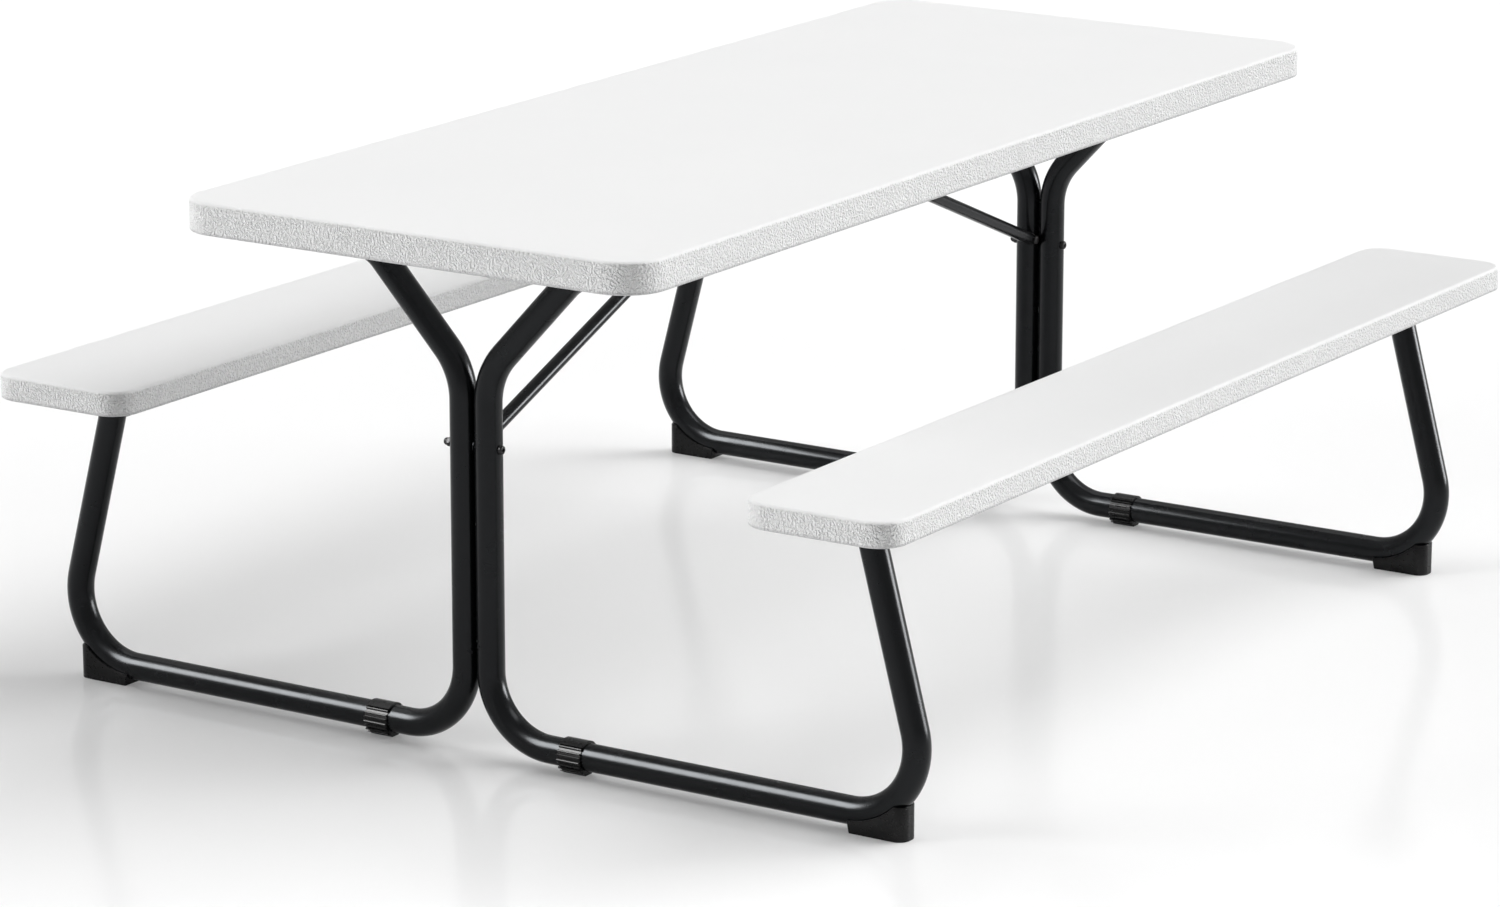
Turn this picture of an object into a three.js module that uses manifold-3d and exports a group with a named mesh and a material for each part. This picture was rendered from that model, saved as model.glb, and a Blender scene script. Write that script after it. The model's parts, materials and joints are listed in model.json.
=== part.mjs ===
// Folding cafeteria table with two attached benches.
// Millimetres, +Z up. The origin is on the floor under the middle of the table, +X runs along the table.
// The near end is at -X, the left side is at +Y. Both end frames swing towards +X when the table folds.

import * as THREE from 'three';
import { mergeVertices } from 'three/addons/utils/BufferGeometryUtils.js';
import Module from 'manifold-3d';

const wasm = await Module();
wasm.setup();

// Table top
const TABLE_HEIGHT = 749;
const TOP_LENGTH = 1829;
const TOP_WIDTH = 746;
const TOP_THICKNESS = 44;
const TOP_CORNER = 60;
const TOP_EDGE = 7;
const TOP_LOWER_EDGE = 3;
const TOP_RIM = 38;
const TOP_PANEL = 23;
const TOP_WALL = 3.5;

// Benches
const BENCH_HEIGHT = 457;
const BENCH_LENGTH = 1764;
const BENCH_WIDTH = 228;
const BENCH_THICKNESS = 35;
const BENCH_OFFSET = 612;
const BENCH_CORNER = 40;
const BENCH_EDGE = 7;
const BENCH_LOWER_EDGE = 3;
const BENCH_RIM = 24;
const BENCH_PANEL = 22;
const BENCH_WALL = 3;

// Blow hole that vents each hollow moulding
const VENT_RADIUS = 4;
const VENT_SETBACK = 120;

// Bent tube frames
const FRAME_INSET = 151.25;
const TUBE_DIAMETER = 38.1;
const TUBE_WALL = 1.5;
const COLUMN_GAP = 2;
const BAR_CLEARANCE = 6;
const CROTCH_HEIGHT = 527.5;
const ARM_LEAN = 43.1;
const LEG_LEAN = 15;
const LEG_OUTSET = 4.5;
const STUB_BEND = 60;
const ARM_BEND = 100;
const COLUMN_BEND = 95;
const OUTER_BEND = 98;
const LEG_OVERRUN = 17;

// Hinges: the folded tubes lie this far below the rims
const FOLD_CLEARANCE = 3.75;
const BENCH_FOLD_CLEARANCE = 6.75;
const BLOCK_GAP = 2;
const BLOCK_WIDTH = 36;
const BLOCK_WALL = 2.5;
const BLOCK_BASE = 4;
const BLOCK_FLANGE = 23;
const STUB_OVERHANG = 12;
const BRACKET_PLATE = 3;
const BRACKET_LENGTH = 90;
const BRACKET_SIDE_GAP = 7;
const BRACKET_NOSE = 8.5;
const BRACKET_FLANGE = 18;
const BENCH_PIN_RADIUS = 4;
const PIN_HEAD = 3.5;
const PIN_HEAD_HEIGHT = 3;
const PIN_HEAD_CHAMFER = 1;

// Column bolt and lug
const BOLT_DROP = 100.5;
const BOLT_RADIUS = 4;
const BOLT_HEAD_RADIUS = 6.5;
const BOLT_HEAD_HEIGHT = 4.5;
const NUT_RADIUS = 6.5;
const NUT_LENGTH = 13;
const NUT_CROWN = 2.5;
const NUT_CROWN_RADIUS = 5.2;
const LUG_BOLT_EYE = 9;
const LUG_PIVOT_EYE = 7.5;

// Braces and their guide
const BRACE_DIAMETER = 19;
const BRACE_RISE = 10.5;
const BRACE_END_OFFSET = 38;
const BRACE_SLOT_DEPTH = 15;
const BRACE_PIN_RADIUS = 3;
const GUIDE_PIN_RADIUS = 5;
const GUIDE_WALL = 2.5;
const GUIDE_SIDE_ROOM = 2.5;
const GUIDE_TOP_ROOM = 0.7;
const GUIDE_DEPTH = 14;
const GUIDE_MARGIN = 35;

// Plastic floor pads, feet and tube plugs
const PAD_SETBACK = 25.5;
const PAD_LENGTH = 37;
const PAD_WALL = 3;
const PAD_FLAT = 14;
const FOOT_SETBACK = 4;
const FOOT_LENGTH = 86;
const FOOT_HEIGHT = 47;
const FOOT_WRAP = 8.5;
const FOOT_SIDE = 0.75;
const FOOT_NOSE = 16;
const PLUG_DEPTH = 6;
const PLUG_FLANGE = 2.5;

// Fits
const FIT_GAP = 0.3;
const SLIDE_GAP = 0.5;

// Smoothness of round forms
const TUBE_SIDES = 12;
const ROUND_SIDES = 16;
const PIN_SIDES = 8;
const CORNER_STEPS = 4;
const EDGE_STEPS = 2;
const BEND_STEP = 18;
const MERGE_DISTANCE = 1e-4;

// Heights and places that follow from the driving sizes
const FRAME_OFFSET = (TOP_LENGTH + BENCH_LENGTH) / 4 - FRAME_INSET;
const TUBE_RADIUS = TUBE_DIAMETER / 2;
const TUBE_BORE = TUBE_RADIUS - TUBE_WALL;
const BRACE_RADIUS = BRACE_DIAMETER / 2;
const TOP_RIM_BOTTOM = TABLE_HEIGHT - TOP_THICKNESS;
const TOP_PANEL_BOTTOM = TABLE_HEIGHT - TOP_PANEL;
const BENCH_RIM_BOTTOM = BENCH_HEIGHT - BENCH_THICKNESS;
const BENCH_PANEL_BOTTOM = BENCH_HEIGHT - BENCH_PANEL;
const HINGE_HEIGHT = TOP_RIM_BOTTOM - TUBE_RADIUS - FOLD_CLEARANCE;
const BENCH_PIVOT_HEIGHT = BENCH_RIM_BOTTOM - TUBE_RADIUS - BENCH_FOLD_CLEARANCE;
const BAR_HEIGHT = BAR_CLEARANCE + TUBE_RADIUS;
const COLUMN_Y = (TUBE_DIAMETER + COLUMN_GAP) / 2;
const COLUMN_OUTSIDE = COLUMN_Y + TUBE_RADIUS;
const LUG_THICKNESS = COLUMN_GAP - 2 * FIT_GAP;
const ARM_SLOPE = Math.tan(THREE.MathUtils.degToRad(ARM_LEAN));
const LEG_SLOPE = Math.tan(THREE.MathUtils.degToRad(LEG_LEAN));
const ARM_TOP_Y = COLUMN_Y + ARM_SLOPE * (HINGE_HEIGHT - CROTCH_HEIGHT);
const STUB_TURN = THREE.MathUtils.degToRad(90 - ARM_LEAN);
const BLOCK_Y = ARM_TOP_Y + STUB_BEND * Math.tan(STUB_TURN / 2) + BLOCK_GAP;
const STUB_END_Y = BLOCK_Y + BLOCK_WIDTH + STUB_OVERHANG;
const LEG_PIVOT_Y = BENCH_OFFSET + LEG_OUTSET;
const LEG_FOOT_Y = LEG_PIVOT_Y + LEG_SLOPE * (BENCH_PIVOT_HEIGHT - BAR_HEIGHT);
const OUTER_TURN = THREE.MathUtils.degToRad(90 + LEG_LEAN);
const OUTER_BEND_Y = LEG_FOOT_Y - OUTER_BEND * Math.tan(OUTER_TURN / 2);
const OUTER_BEND_HEIGHT = BAR_HEIGHT + OUTER_BEND;
const PAD_Y = COLUMN_Y + COLUMN_BEND + PAD_SETBACK;
const BOLT_HEIGHT = CROTCH_HEIGHT - BOLT_DROP;
const BRACE_PIVOT_HEIGHT = BOLT_HEIGHT + BRACE_RISE;
const GUIDE_ROOF = TOP_PANEL_BOTTOM - FIT_GAP;
const GUIDE_HEIGHT = GUIDE_ROOF - GUIDE_WALL - GUIDE_TOP_ROOM - BRACE_RADIUS;
const BRACE_INSET = GUIDE_HEIGHT - HINGE_HEIGHT;
const BRACE_RUN = FRAME_OFFSET - BRACE_INSET - BRACE_END_OFFSET;
const BRACE_CLIMB = GUIDE_HEIGHT - BRACE_PIVOT_HEIGHT;
const BRACE_LENGTH = Math.hypot(BRACE_RUN, BRACE_CLIMB);
const BRACE_ANGLE = Math.atan2(BRACE_CLIMB, BRACE_RUN);
const PIVOT_DROP = HINGE_HEIGHT - BRACE_PIVOT_HEIGHT;
const FOLDED_FAR_RUN = Math.sqrt(BRACE_LENGTH ** 2 - (2 * BRACE_INSET) ** 2);
const FOLDED_FAR_END = FRAME_OFFSET + PIVOT_DROP - FOLDED_FAR_RUN;

// Solids and booleans

function toSolid(geometry) {
  const bare = geometry.clone();
  bare.deleteAttribute('normal');
  bare.deleteAttribute('uv');
  const merged = mergeVertices(bare, MERGE_DISTANCE);
  return new wasm.Manifold(new wasm.Mesh({
    numProp: 3,
    vertProperties: new Float32Array(merged.attributes.position.array),
    triVerts: new Uint32Array(merged.index.array),
  }));
}

function toGeometry(solid) {
  const mesh = solid.getMesh();
  const geometry = new THREE.BufferGeometry();
  geometry.setAttribute('position', new THREE.BufferAttribute(mesh.vertProperties, 3));
  geometry.setIndex(new THREE.BufferAttribute(mesh.triVerts, 1));
  geometry.computeVertexNormals();
  return geometry;
}

function join(...geometries) {
  return toGeometry(geometries.map(toSolid).reduce((sum, solid) => sum.add(solid)));
}

function cut(geometry, ...tools) {
  return toGeometry(tools.map(toSolid).reduce((rest, tool) => rest.subtract(tool), toSolid(geometry)));
}

function overlap(first, second) {
  return toGeometry(toSolid(first).intersect(toSolid(second)));
}

// A radius whose flat-sided circle stays outside the true circle
function outsideRadius(radius, sides) {
  return radius / Math.cos(Math.PI / sides);
}

// Extruded forms, each along one axis of the frame

function alongZ(shape, low, high, options = {}) {
  const settings = { depth: high - low, bevelEnabled: false, curveSegments: CORNER_STEPS, ...options };
  return new THREE.ExtrudeGeometry(shape, settings).translate(0, 0, low);
}

// Shape x stays X and shape y becomes Z
function alongY(shape, low, high, curveSegments = CORNER_STEPS) {
  const settings = { depth: high - low, bevelEnabled: false, curveSegments };
  return new THREE.ExtrudeGeometry(shape, settings).rotateX(Math.PI / 2).translate(0, high, 0);
}

// Shape x becomes Y and shape y becomes Z
function alongX(shape, low, high, curveSegments = CORNER_STEPS) {
  const settings = { depth: high - low, bevelEnabled: false, curveSegments };
  return new THREE.ExtrudeGeometry(shape, settings).rotateX(Math.PI / 2).rotateZ(Math.PI / 2)
    .translate(low, 0, 0);
}

function box(low, high) {
  const size = high.map((value, index) => value - low[index]);
  const middle = high.map((value, index) => (value + low[index]) / 2);
  return new THREE.BoxGeometry(...size).translate(...middle);
}

function rodAlongY(radius, low, high, sides = PIN_SIDES) {
  return new THREE.CylinderGeometry(radius, radius, high - low, sides).translate(0, (low + high) / 2, 0);
}

// A pin along Y with a head beyond each end of its grip
function headedPin(radius, low, high) {
  const head = radius + PIN_HEAD;
  const profile = [
    new THREE.Vector2(0, low - PIN_HEAD_HEIGHT),
    new THREE.Vector2(head - PIN_HEAD_CHAMFER, low - PIN_HEAD_HEIGHT),
    new THREE.Vector2(head, low - PIN_HEAD_HEIGHT / 2),
    new THREE.Vector2(head, low),
    new THREE.Vector2(radius, low),
    new THREE.Vector2(radius, high),
    new THREE.Vector2(head, high),
    new THREE.Vector2(head, high + PIN_HEAD_HEIGHT / 2),
    new THREE.Vector2(head - PIN_HEAD_CHAMFER, high + PIN_HEAD_HEIGHT),
    new THREE.Vector2(0, high + PIN_HEAD_HEIGHT),
  ];
  return new THREE.LatheGeometry(profile, PIN_SIDES);
}

function roundedRectangle(length, width, corner) {
  const x = length / 2;
  const y = width / 2;
  const shape = new THREE.Shape();
  shape.moveTo(-x + corner, -y);
  shape.lineTo(x - corner, -y);
  shape.absarc(x - corner, -y + corner, corner, -Math.PI / 2, 0);
  shape.lineTo(x, y - corner);
  shape.absarc(x - corner, y - corner, corner, 0, Math.PI / 2);
  shape.lineTo(-x + corner, y);
  shape.absarc(-x + corner, y - corner, corner, Math.PI / 2, Math.PI);
  shape.lineTo(-x, -y + corner);
  shape.absarc(-x + corner, -y + corner, corner, Math.PI, 1.5 * Math.PI);
  return shape;
}

// Hollow mouldings

// A slab whose upper and lower edges have different rounding
function softSlab(length, width, corner, low, high, upperEdge, lowerEdge) {
  const spare = upperEdge + lowerEdge;
  const rounded = (edge, from, to) => alongZ(
    roundedRectangle(length - 2 * edge, width - 2 * edge, corner - edge),
    from + edge,
    to - edge,
    { bevelEnabled: true, bevelThickness: edge, bevelSize: edge, bevelSegments: EDGE_STEPS },
  );
  return overlap(rounded(upperEdge, low - spare, high), rounded(lowerEdge, low, high + spare));
}

// A double-walled panel with a deep rim around it, open to the air through one blow hole
function moulding(size) {
  const { length, width, corner, low, high, rim, panelBottom, wall } = size;
  const skin = softSlab(length, width, corner, low, high, size.upperEdge, size.lowerEdge);
  const recessOutline = (grow) => roundedRectangle(
    length - 2 * rim + 2 * grow,
    width - 2 * rim + 2 * grow,
    corner,
  );
  const recess = alongZ(recessOutline(0), low - rim, panelBottom);
  const hollow = alongZ(
    roundedRectangle(length - 2 * wall, width - 2 * wall, corner - wall),
    low + wall,
    high - wall,
  );
  const keptFloor = alongZ(recessOutline(wall), low - rim, panelBottom + wall);
  const vent = new THREE.CylinderGeometry(VENT_RADIUS, VENT_RADIUS, 3 * wall, PIN_SIDES)
    .rotateX(Math.PI / 2)
    .translate(length / 2 - VENT_SETBACK, 0, panelBottom + wall / 2);
  return cut(skin, recess, cut(hollow, keptFloor), vent);
}

// Bent tubes

// A centre line given by its stations, each with the exact direction of the tube there
class BentLine extends THREE.Curve {
  constructor(stations) {
    super();
    this.stations = stations;
  }

  get steps() {
    return this.stations.length - 1;
  }

  getSpacedPoints() {
    return this.stations.map((station) => station.point.clone());
  }

  getTangentAt(u) {
    return this.stations[Math.round(u * this.steps)].direction.clone();
  }
}

// Straight runs between the corners, with an arc of the given radius at each inner corner, in the YZ plane
function bentLine(corners) {
  const points = corners.map((corner) => new THREE.Vector2(corner.y, corner.z));
  const stations = [];
  const add = (y, z, direction) => stations.push({
    point: new THREE.Vector3(0, y, z),
    direction: new THREE.Vector3(0, direction.x, direction.y),
  });
  const heading = (index) => points[index + 1].clone().sub(points[index]).normalize();
  add(points[0].x, points[0].y, heading(0));
  for (let index = 1; index < points.length - 1; index += 1) {
    const before = heading(index - 1);
    const after = heading(index);
    const turn = Math.atan2(before.cross(after), before.dot(after));
    const radius = corners[index].bend;
    const side = Math.sign(turn);
    const start = points[index].clone().addScaledVector(before, -radius * Math.tan(Math.abs(turn) / 2));
    const normal = new THREE.Vector2(-before.y, before.x).multiplyScalar(side);
    const centre = start.clone().addScaledVector(normal, radius);
    const steps = Math.ceil(THREE.MathUtils.radToDeg(Math.abs(turn)) / BEND_STEP);
    for (let step = 0; step <= steps; step += 1) {
      const angle = turn * step / steps;
      const place = start.clone().rotateAround(centre, angle);
      const direction = before.clone().rotateAround(new THREE.Vector2(), angle);
      add(place.x, place.y, direction);
    }
  }
  const last = points.length - 1;
  add(points[last].x, points[last].y, heading(last - 1));
  return new BentLine(stations);
}

function ring(radius, bore = 0) {
  const shape = new THREE.Shape().absarc(0, 0, radius, 0, 2 * Math.PI);
  if (bore > 0) {
    shape.holes.push(new THREE.Path().absarc(0, 0, bore, 0, 2 * Math.PI, true));
  }
  return shape;
}

function sweep(line, shape) {
  const settings = { steps: line.steps, extrudePath: line, curveSegments: TUBE_SIDES / 2 };
  return new THREE.ExtrudeGeometry(shape, settings);
}

// One side of an end frame: hinge stub, arm, column, floor bar and bench leg in one bent tube
const legUp = new THREE.Vector2(-LEG_SLOPE, 1).normalize();
const halfLine = bentLine([
  { y: STUB_END_Y, z: HINGE_HEIGHT },
  { y: ARM_TOP_Y, z: HINGE_HEIGHT, bend: STUB_BEND },
  { y: COLUMN_Y, z: CROTCH_HEIGHT, bend: ARM_BEND },
  { y: COLUMN_Y, z: BAR_HEIGHT, bend: COLUMN_BEND },
  { y: LEG_FOOT_Y, z: BAR_HEIGHT, bend: OUTER_BEND },
  { y: LEG_PIVOT_Y + legUp.x * LEG_OVERRUN, z: BENCH_PIVOT_HEIGHT + legUp.y * LEG_OVERRUN },
]);

function halfTube() {
  const boltHole = rodAlongY(outsideRadius(BOLT_RADIUS + FIT_GAP, PIN_SIDES), 0, 2 * COLUMN_OUTSIDE)
    .translate(0, 0, BOLT_HEIGHT);
  const pinHole = rodAlongY(
    outsideRadius(BENCH_PIN_RADIUS + FIT_GAP, PIN_SIDES),
    LEG_PIVOT_Y - TUBE_DIAMETER,
    LEG_PIVOT_Y + TUBE_DIAMETER,
  ).translate(0, 0, BENCH_PIVOT_HEIGHT);
  return cut(sweep(halfLine, ring(TUBE_RADIUS, TUBE_BORE)), boltHole, pinHole);
}

// A stepped plug for a tube end, pointing out of the tube along +Y, with the tube end at the origin
function tubePlug() {
  const stem = TUBE_BORE * Math.cos(Math.PI / TUBE_SIDES) - FIT_GAP;
  const profile = [
    new THREE.Vector2(0, -PLUG_DEPTH),
    new THREE.Vector2(stem, -PLUG_DEPTH),
    new THREE.Vector2(stem, FIT_GAP),
    new THREE.Vector2(TUBE_RADIUS, FIT_GAP),
    new THREE.Vector2(TUBE_RADIUS - PLUG_FLANGE / 2, FIT_GAP + PLUG_FLANGE),
    new THREE.Vector2(0, FIT_GAP + PLUG_FLANGE),
  ];
  return new THREE.LatheGeometry(profile, TUBE_SIDES);
}

// A floor pad that rings the bar, thicker below, with a flat to stand on
function floorPad() {
  const high = BAR_HEIGHT + TUBE_RADIUS + PAD_WALL;
  const halfFlat = PAD_FLAT / 2;
  const middle = (high ** 2 - halfFlat ** 2) / (2 * high);
  const start = -Math.atan2(middle, halfFlat);
  const shape = new THREE.Shape();
  shape.absarc(0, middle, high - middle, start, Math.PI - start);
  shape.closePath();
  const bore = outsideRadius(TUBE_RADIUS + FIT_GAP, ROUND_SIDES);
  shape.holes.push(new THREE.Path().absarc(0, BAR_HEIGHT, bore, 0, 2 * Math.PI, true));
  return alongY(shape, PAD_Y, PAD_Y + PAD_LENGTH, ROUND_SIDES / 2);
}

// A saddle foot under the outer bend of the tube
function saddleFoot() {
  const halfDepth = TUBE_RADIUS + FOOT_SIDE;
  const inner = OUTER_BEND_Y + FOOT_SETBACK;
  const outer = inner + FOOT_LENGTH;
  const plan = new THREE.Shape();
  plan.moveTo(-halfDepth, inner);
  plan.lineTo(halfDepth, inner);
  plan.lineTo(halfDepth, outer - FOOT_NOSE);
  plan.absarc(halfDepth - FOOT_NOSE, outer - FOOT_NOSE, FOOT_NOSE, 0, Math.PI / 2);
  plan.lineTo(-halfDepth + FOOT_NOSE, outer);
  plan.absarc(-halfDepth + FOOT_NOSE, outer - FOOT_NOSE, FOOT_NOSE, Math.PI / 2, Math.PI);
  const arc = OUTER_BEND + FOOT_WRAP;
  const topAngle = -Math.asin((OUTER_BEND_HEIGHT - FOOT_HEIGHT) / arc);
  const innerAngle = -Math.acos(FOOT_SETBACK / arc);
  const profile = new THREE.Shape();
  profile.moveTo(inner, 0);
  profile.lineTo(outer, 0);
  profile.lineTo(outer, FOOT_HEIGHT);
  profile.absarc(OUTER_BEND_Y, OUTER_BEND_HEIGHT, arc, topAngle, innerAngle, true);
  profile.closePath();
  const block = overlap(alongZ(plan, 0, FOOT_HEIGHT), alongX(profile, -2 * halfDepth, 2 * halfDepth));
  return cut(block, sweep(halfLine, ring(TUBE_RADIUS + FIT_GAP)));
}

// Hinges

// A block under the table top that carries the round hinge stub of one arm
function hingeBlock() {
  const outside = TUBE_RADIUS + BLOCK_WALL;
  const seat = TOP_PANEL_BOTTOM - FIT_GAP - HINGE_HEIGHT;
  const reach = outside + BLOCK_FLANGE;
  const shape = new THREE.Shape();
  shape.moveTo(reach, seat);
  shape.lineTo(-reach, seat);
  shape.lineTo(-reach, seat - BLOCK_BASE);
  shape.lineTo(-outside, seat - BLOCK_BASE);
  shape.lineTo(-outside, 0);
  shape.absarc(0, 0, outside, Math.PI, 2 * Math.PI);
  shape.lineTo(outside, seat - BLOCK_BASE);
  shape.lineTo(reach, seat - BLOCK_BASE);
  shape.closePath();
  const bore = outsideRadius(TUBE_RADIUS + FIT_GAP, ROUND_SIDES);
  shape.holes.push(new THREE.Path().absarc(0, 0, bore, 0, 2 * Math.PI, true));
  return alongY(shape, BLOCK_Y, BLOCK_Y + BLOCK_WIDTH, ROUND_SIDES / 2).translate(0, 0, HINGE_HEIGHT);
}

// Inside half width of a bench bracket: the leaning leg and the room beside it
const BRACKET_HALF = TUBE_RADIUS / Math.cos(THREE.MathUtils.degToRad(LEG_LEAN)) + BRACKET_SIDE_GAP;

// A bracket under a bench: a flanged base plate with a cheek on each side of the leg
function benchBracket() {
  const seat = BENCH_PANEL_BOTTOM - FIT_GAP - BENCH_PIVOT_HEIGHT;
  const under = seat - BRACKET_PLATE;
  const halfLength = BRACKET_LENGTH / 2;
  const outside = BRACKET_HALF + BRACKET_PLATE;
  const base = box(
    [-halfLength, -outside - BRACKET_FLANGE, under],
    [halfLength, outside + BRACKET_FLANGE, seat],
  );
  const cheekShape = new THREE.Shape();
  cheekShape.moveTo(halfLength, seat - BRACKET_PLATE / 2);
  cheekShape.lineTo(-halfLength, seat - BRACKET_PLATE / 2);
  cheekShape.lineTo(-halfLength, under - BRACKET_PLATE);
  cheekShape.lineTo(-BRACKET_NOSE, 0);
  cheekShape.absarc(0, 0, BRACKET_NOSE, Math.PI, 2 * Math.PI);
  cheekShape.lineTo(halfLength, under - BRACKET_PLATE);
  cheekShape.closePath();
  const eye = outsideRadius(BENCH_PIN_RADIUS + FIT_GAP, PIN_SIDES);
  cheekShape.holes.push(new THREE.Path().absarc(0, 0, eye, 0, 2 * Math.PI, true));
  const cheek = (low) => alongY(cheekShape, low, low + BRACKET_PLATE);
  return join(base, cheek(BRACKET_HALF), cheek(-outside));
}

function benchPin() {
  const grip = BRACKET_HALF + BRACKET_PLATE + FIT_GAP;
  return headedPin(BENCH_PIN_RADIUS, -grip, grip);
}

// Column bolt, cap nut and brace lug

function columnBolt() {
  const seat = COLUMN_OUTSIDE + FIT_GAP;
  const profile = [
    new THREE.Vector2(0, -seat - BOLT_HEAD_HEIGHT),
    new THREE.Vector2(BOLT_HEAD_RADIUS / 2, -seat - BOLT_HEAD_HEIGHT),
    new THREE.Vector2(BOLT_HEAD_RADIUS, -seat - BOLT_HEAD_HEIGHT / 2),
    new THREE.Vector2(BOLT_HEAD_RADIUS, -seat),
    new THREE.Vector2(BOLT_RADIUS, -seat),
    new THREE.Vector2(BOLT_RADIUS, seat + NUT_LENGTH - NUT_CROWN - FIT_GAP),
    new THREE.Vector2(0, seat + NUT_LENGTH - NUT_CROWN - FIT_GAP),
  ];
  return new THREE.LatheGeometry(profile, PIN_SIDES);
}

function capNut() {
  const seat = COLUMN_OUTSIDE + FIT_GAP;
  const bore = outsideRadius(BOLT_RADIUS + FIT_GAP, PIN_SIDES);
  const profile = [
    new THREE.Vector2(0, seat + NUT_LENGTH - NUT_CROWN),
    new THREE.Vector2(bore, seat + NUT_LENGTH - NUT_CROWN),
    new THREE.Vector2(bore, seat),
    new THREE.Vector2(NUT_RADIUS, seat),
    new THREE.Vector2(NUT_RADIUS, seat + NUT_LENGTH / 2),
    new THREE.Vector2(NUT_CROWN_RADIUS, seat + NUT_LENGTH - NUT_CROWN),
    new THREE.Vector2(0, seat + NUT_LENGTH),
  ];
  return new THREE.LatheGeometry(profile, PIN_SIDES);
}

// A flat plate clamped between the columns, reaching inboard to the brace pivot
function braceLug() {
  const tilt = Math.atan2(BRACE_RISE, BRACE_INSET);
  const span = Math.hypot(BRACE_RISE, BRACE_INSET);
  const spread = Math.acos((LUG_BOLT_EYE - LUG_PIVOT_EYE) / span);
  const shape = new THREE.Shape();
  shape.absarc(BRACE_INSET, BRACE_RISE, LUG_PIVOT_EYE, tilt - spread, tilt + spread);
  shape.absarc(0, 0, LUG_BOLT_EYE, tilt + spread, tilt - spread + 2 * Math.PI);
  shape.closePath();
  const eye = (x, z, radius) => new THREE.Path().absarc(
    x, z, outsideRadius(radius + FIT_GAP, PIN_SIDES), 0, 2 * Math.PI, true);
  shape.holes.push(eye(0, 0, BOLT_RADIUS));
  shape.holes.push(eye(BRACE_INSET, BRACE_RISE, BRACE_PIN_RADIUS));
  return alongY(shape, -LUG_THICKNESS / 2, LUG_THICKNESS / 2).translate(0, 0, BOLT_HEIGHT);
}

// Braces

// A round rod along +X from its pivot, forked over the lug at the origin and bored for its guide pin
function braceRod() {
  const outline = new THREE.Shape();
  outline.absarc(BRACE_LENGTH, 0, BRACE_RADIUS, -Math.PI / 2, Math.PI / 2);
  outline.absarc(0, 0, BRACE_RADIUS, Math.PI / 2, 1.5 * Math.PI);
  outline.closePath();
  const flat = alongY(outline, -BRACE_DIAMETER, BRACE_DIAMETER);
  const round = new THREE.CylinderGeometry(
    BRACE_RADIUS,
    BRACE_RADIUS,
    BRACE_LENGTH + BRACE_DIAMETER,
    TUBE_SIDES,
  ).rotateZ(Math.PI / 2).translate(BRACE_LENGTH / 2, 0, 0);
  const halfSlot = LUG_THICKNESS / 2 + FIT_GAP;
  const slot = box(
    [-BRACE_DIAMETER, -halfSlot, -BRACE_DIAMETER],
    [BRACE_SLOT_DEPTH, halfSlot, BRACE_DIAMETER],
  );
  const hole = (x, radius) => rodAlongY(
    outsideRadius(radius + FIT_GAP, PIN_SIDES), -BRACE_DIAMETER, BRACE_DIAMETER).translate(x, 0, 0);
  return cut(
    overlap(round, flat),
    slot,
    hole(0, BRACE_PIN_RADIUS),
    hole(BRACE_LENGTH, GUIDE_PIN_RADIUS),
  );
}

const GUIDE_HALF = BRACE_RADIUS + GUIDE_SIDE_ROOM;

function guidePin() {
  const half = GUIDE_HALF - SLIDE_GAP;
  return rodAlongY(GUIDE_PIN_RADIUS, -half, half, ROUND_SIDES / 2);
}

// A channel under the middle of the table, open below, that takes the upper ends of both braces
function braceGuide() {
  const start = -BRACE_END_OFFSET - GUIDE_MARGIN;
  const end = FOLDED_FAR_END + GUIDE_MARGIN;
  const outside = GUIDE_HALF + GUIDE_WALL;
  const low = GUIDE_HEIGHT - GUIDE_DEPTH;
  const shape = new THREE.Shape();
  shape.moveTo(-outside, GUIDE_ROOF);
  shape.lineTo(-outside, low);
  shape.lineTo(-GUIDE_HALF, low);
  shape.lineTo(-GUIDE_HALF, GUIDE_ROOF - GUIDE_WALL);
  shape.lineTo(GUIDE_HALF, GUIDE_ROOF - GUIDE_WALL);
  shape.lineTo(GUIDE_HALF, low);
  shape.lineTo(outside, low);
  shape.lineTo(outside, GUIDE_ROOF);
  shape.closePath();
  return alongX(shape, start, end);
}

// The assembly

const finishes = {
  white: { color: 0xf0f0ef, roughness: 0.45, metalness: 0 },
  frame: { color: 0x17181a, roughness: 0.38, metalness: 0.2 },
  plastic: { color: 0x121212, roughness: 0.6, metalness: 0 },
  steel: { color: 0x2a2b2d, roughness: 0.35, metalness: 0.8 },
};

const table = new THREE.Group();

function place(parent, name, geometry, finish) {
  const mesh = new THREE.Mesh(geometry, new THREE.MeshStandardMaterial(finishes[finish]));
  mesh.name = name;
  parent.add(mesh);
  return mesh;
}

function group(parent, x = 0, y = 0, z = 0, turn = 0) {
  const made = new THREE.Group();
  made.position.set(x, y, z);
  made.rotation.z = turn;
  parent.add(made);
  return made;
}

place(table, 'tabletop', moulding({
  length: TOP_LENGTH,
  width: TOP_WIDTH,
  corner: TOP_CORNER,
  low: TOP_RIM_BOTTOM,
  high: TABLE_HEIGHT,
  upperEdge: TOP_EDGE,
  lowerEdge: TOP_LOWER_EDGE,
  rim: TOP_RIM,
  panelBottom: TOP_PANEL_BOTTOM,
  wall: TOP_WALL,
}), 'white');
place(table, 'brace_guide', braceGuide(), 'frame');

const ends = [
  { name: 'near', sign: -1 },
  { name: 'far', sign: 1 },
];
const sides = [
  { name: 'left', sign: 1, turn: 0 },
  { name: 'right', sign: -1, turn: Math.PI },
];

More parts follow.
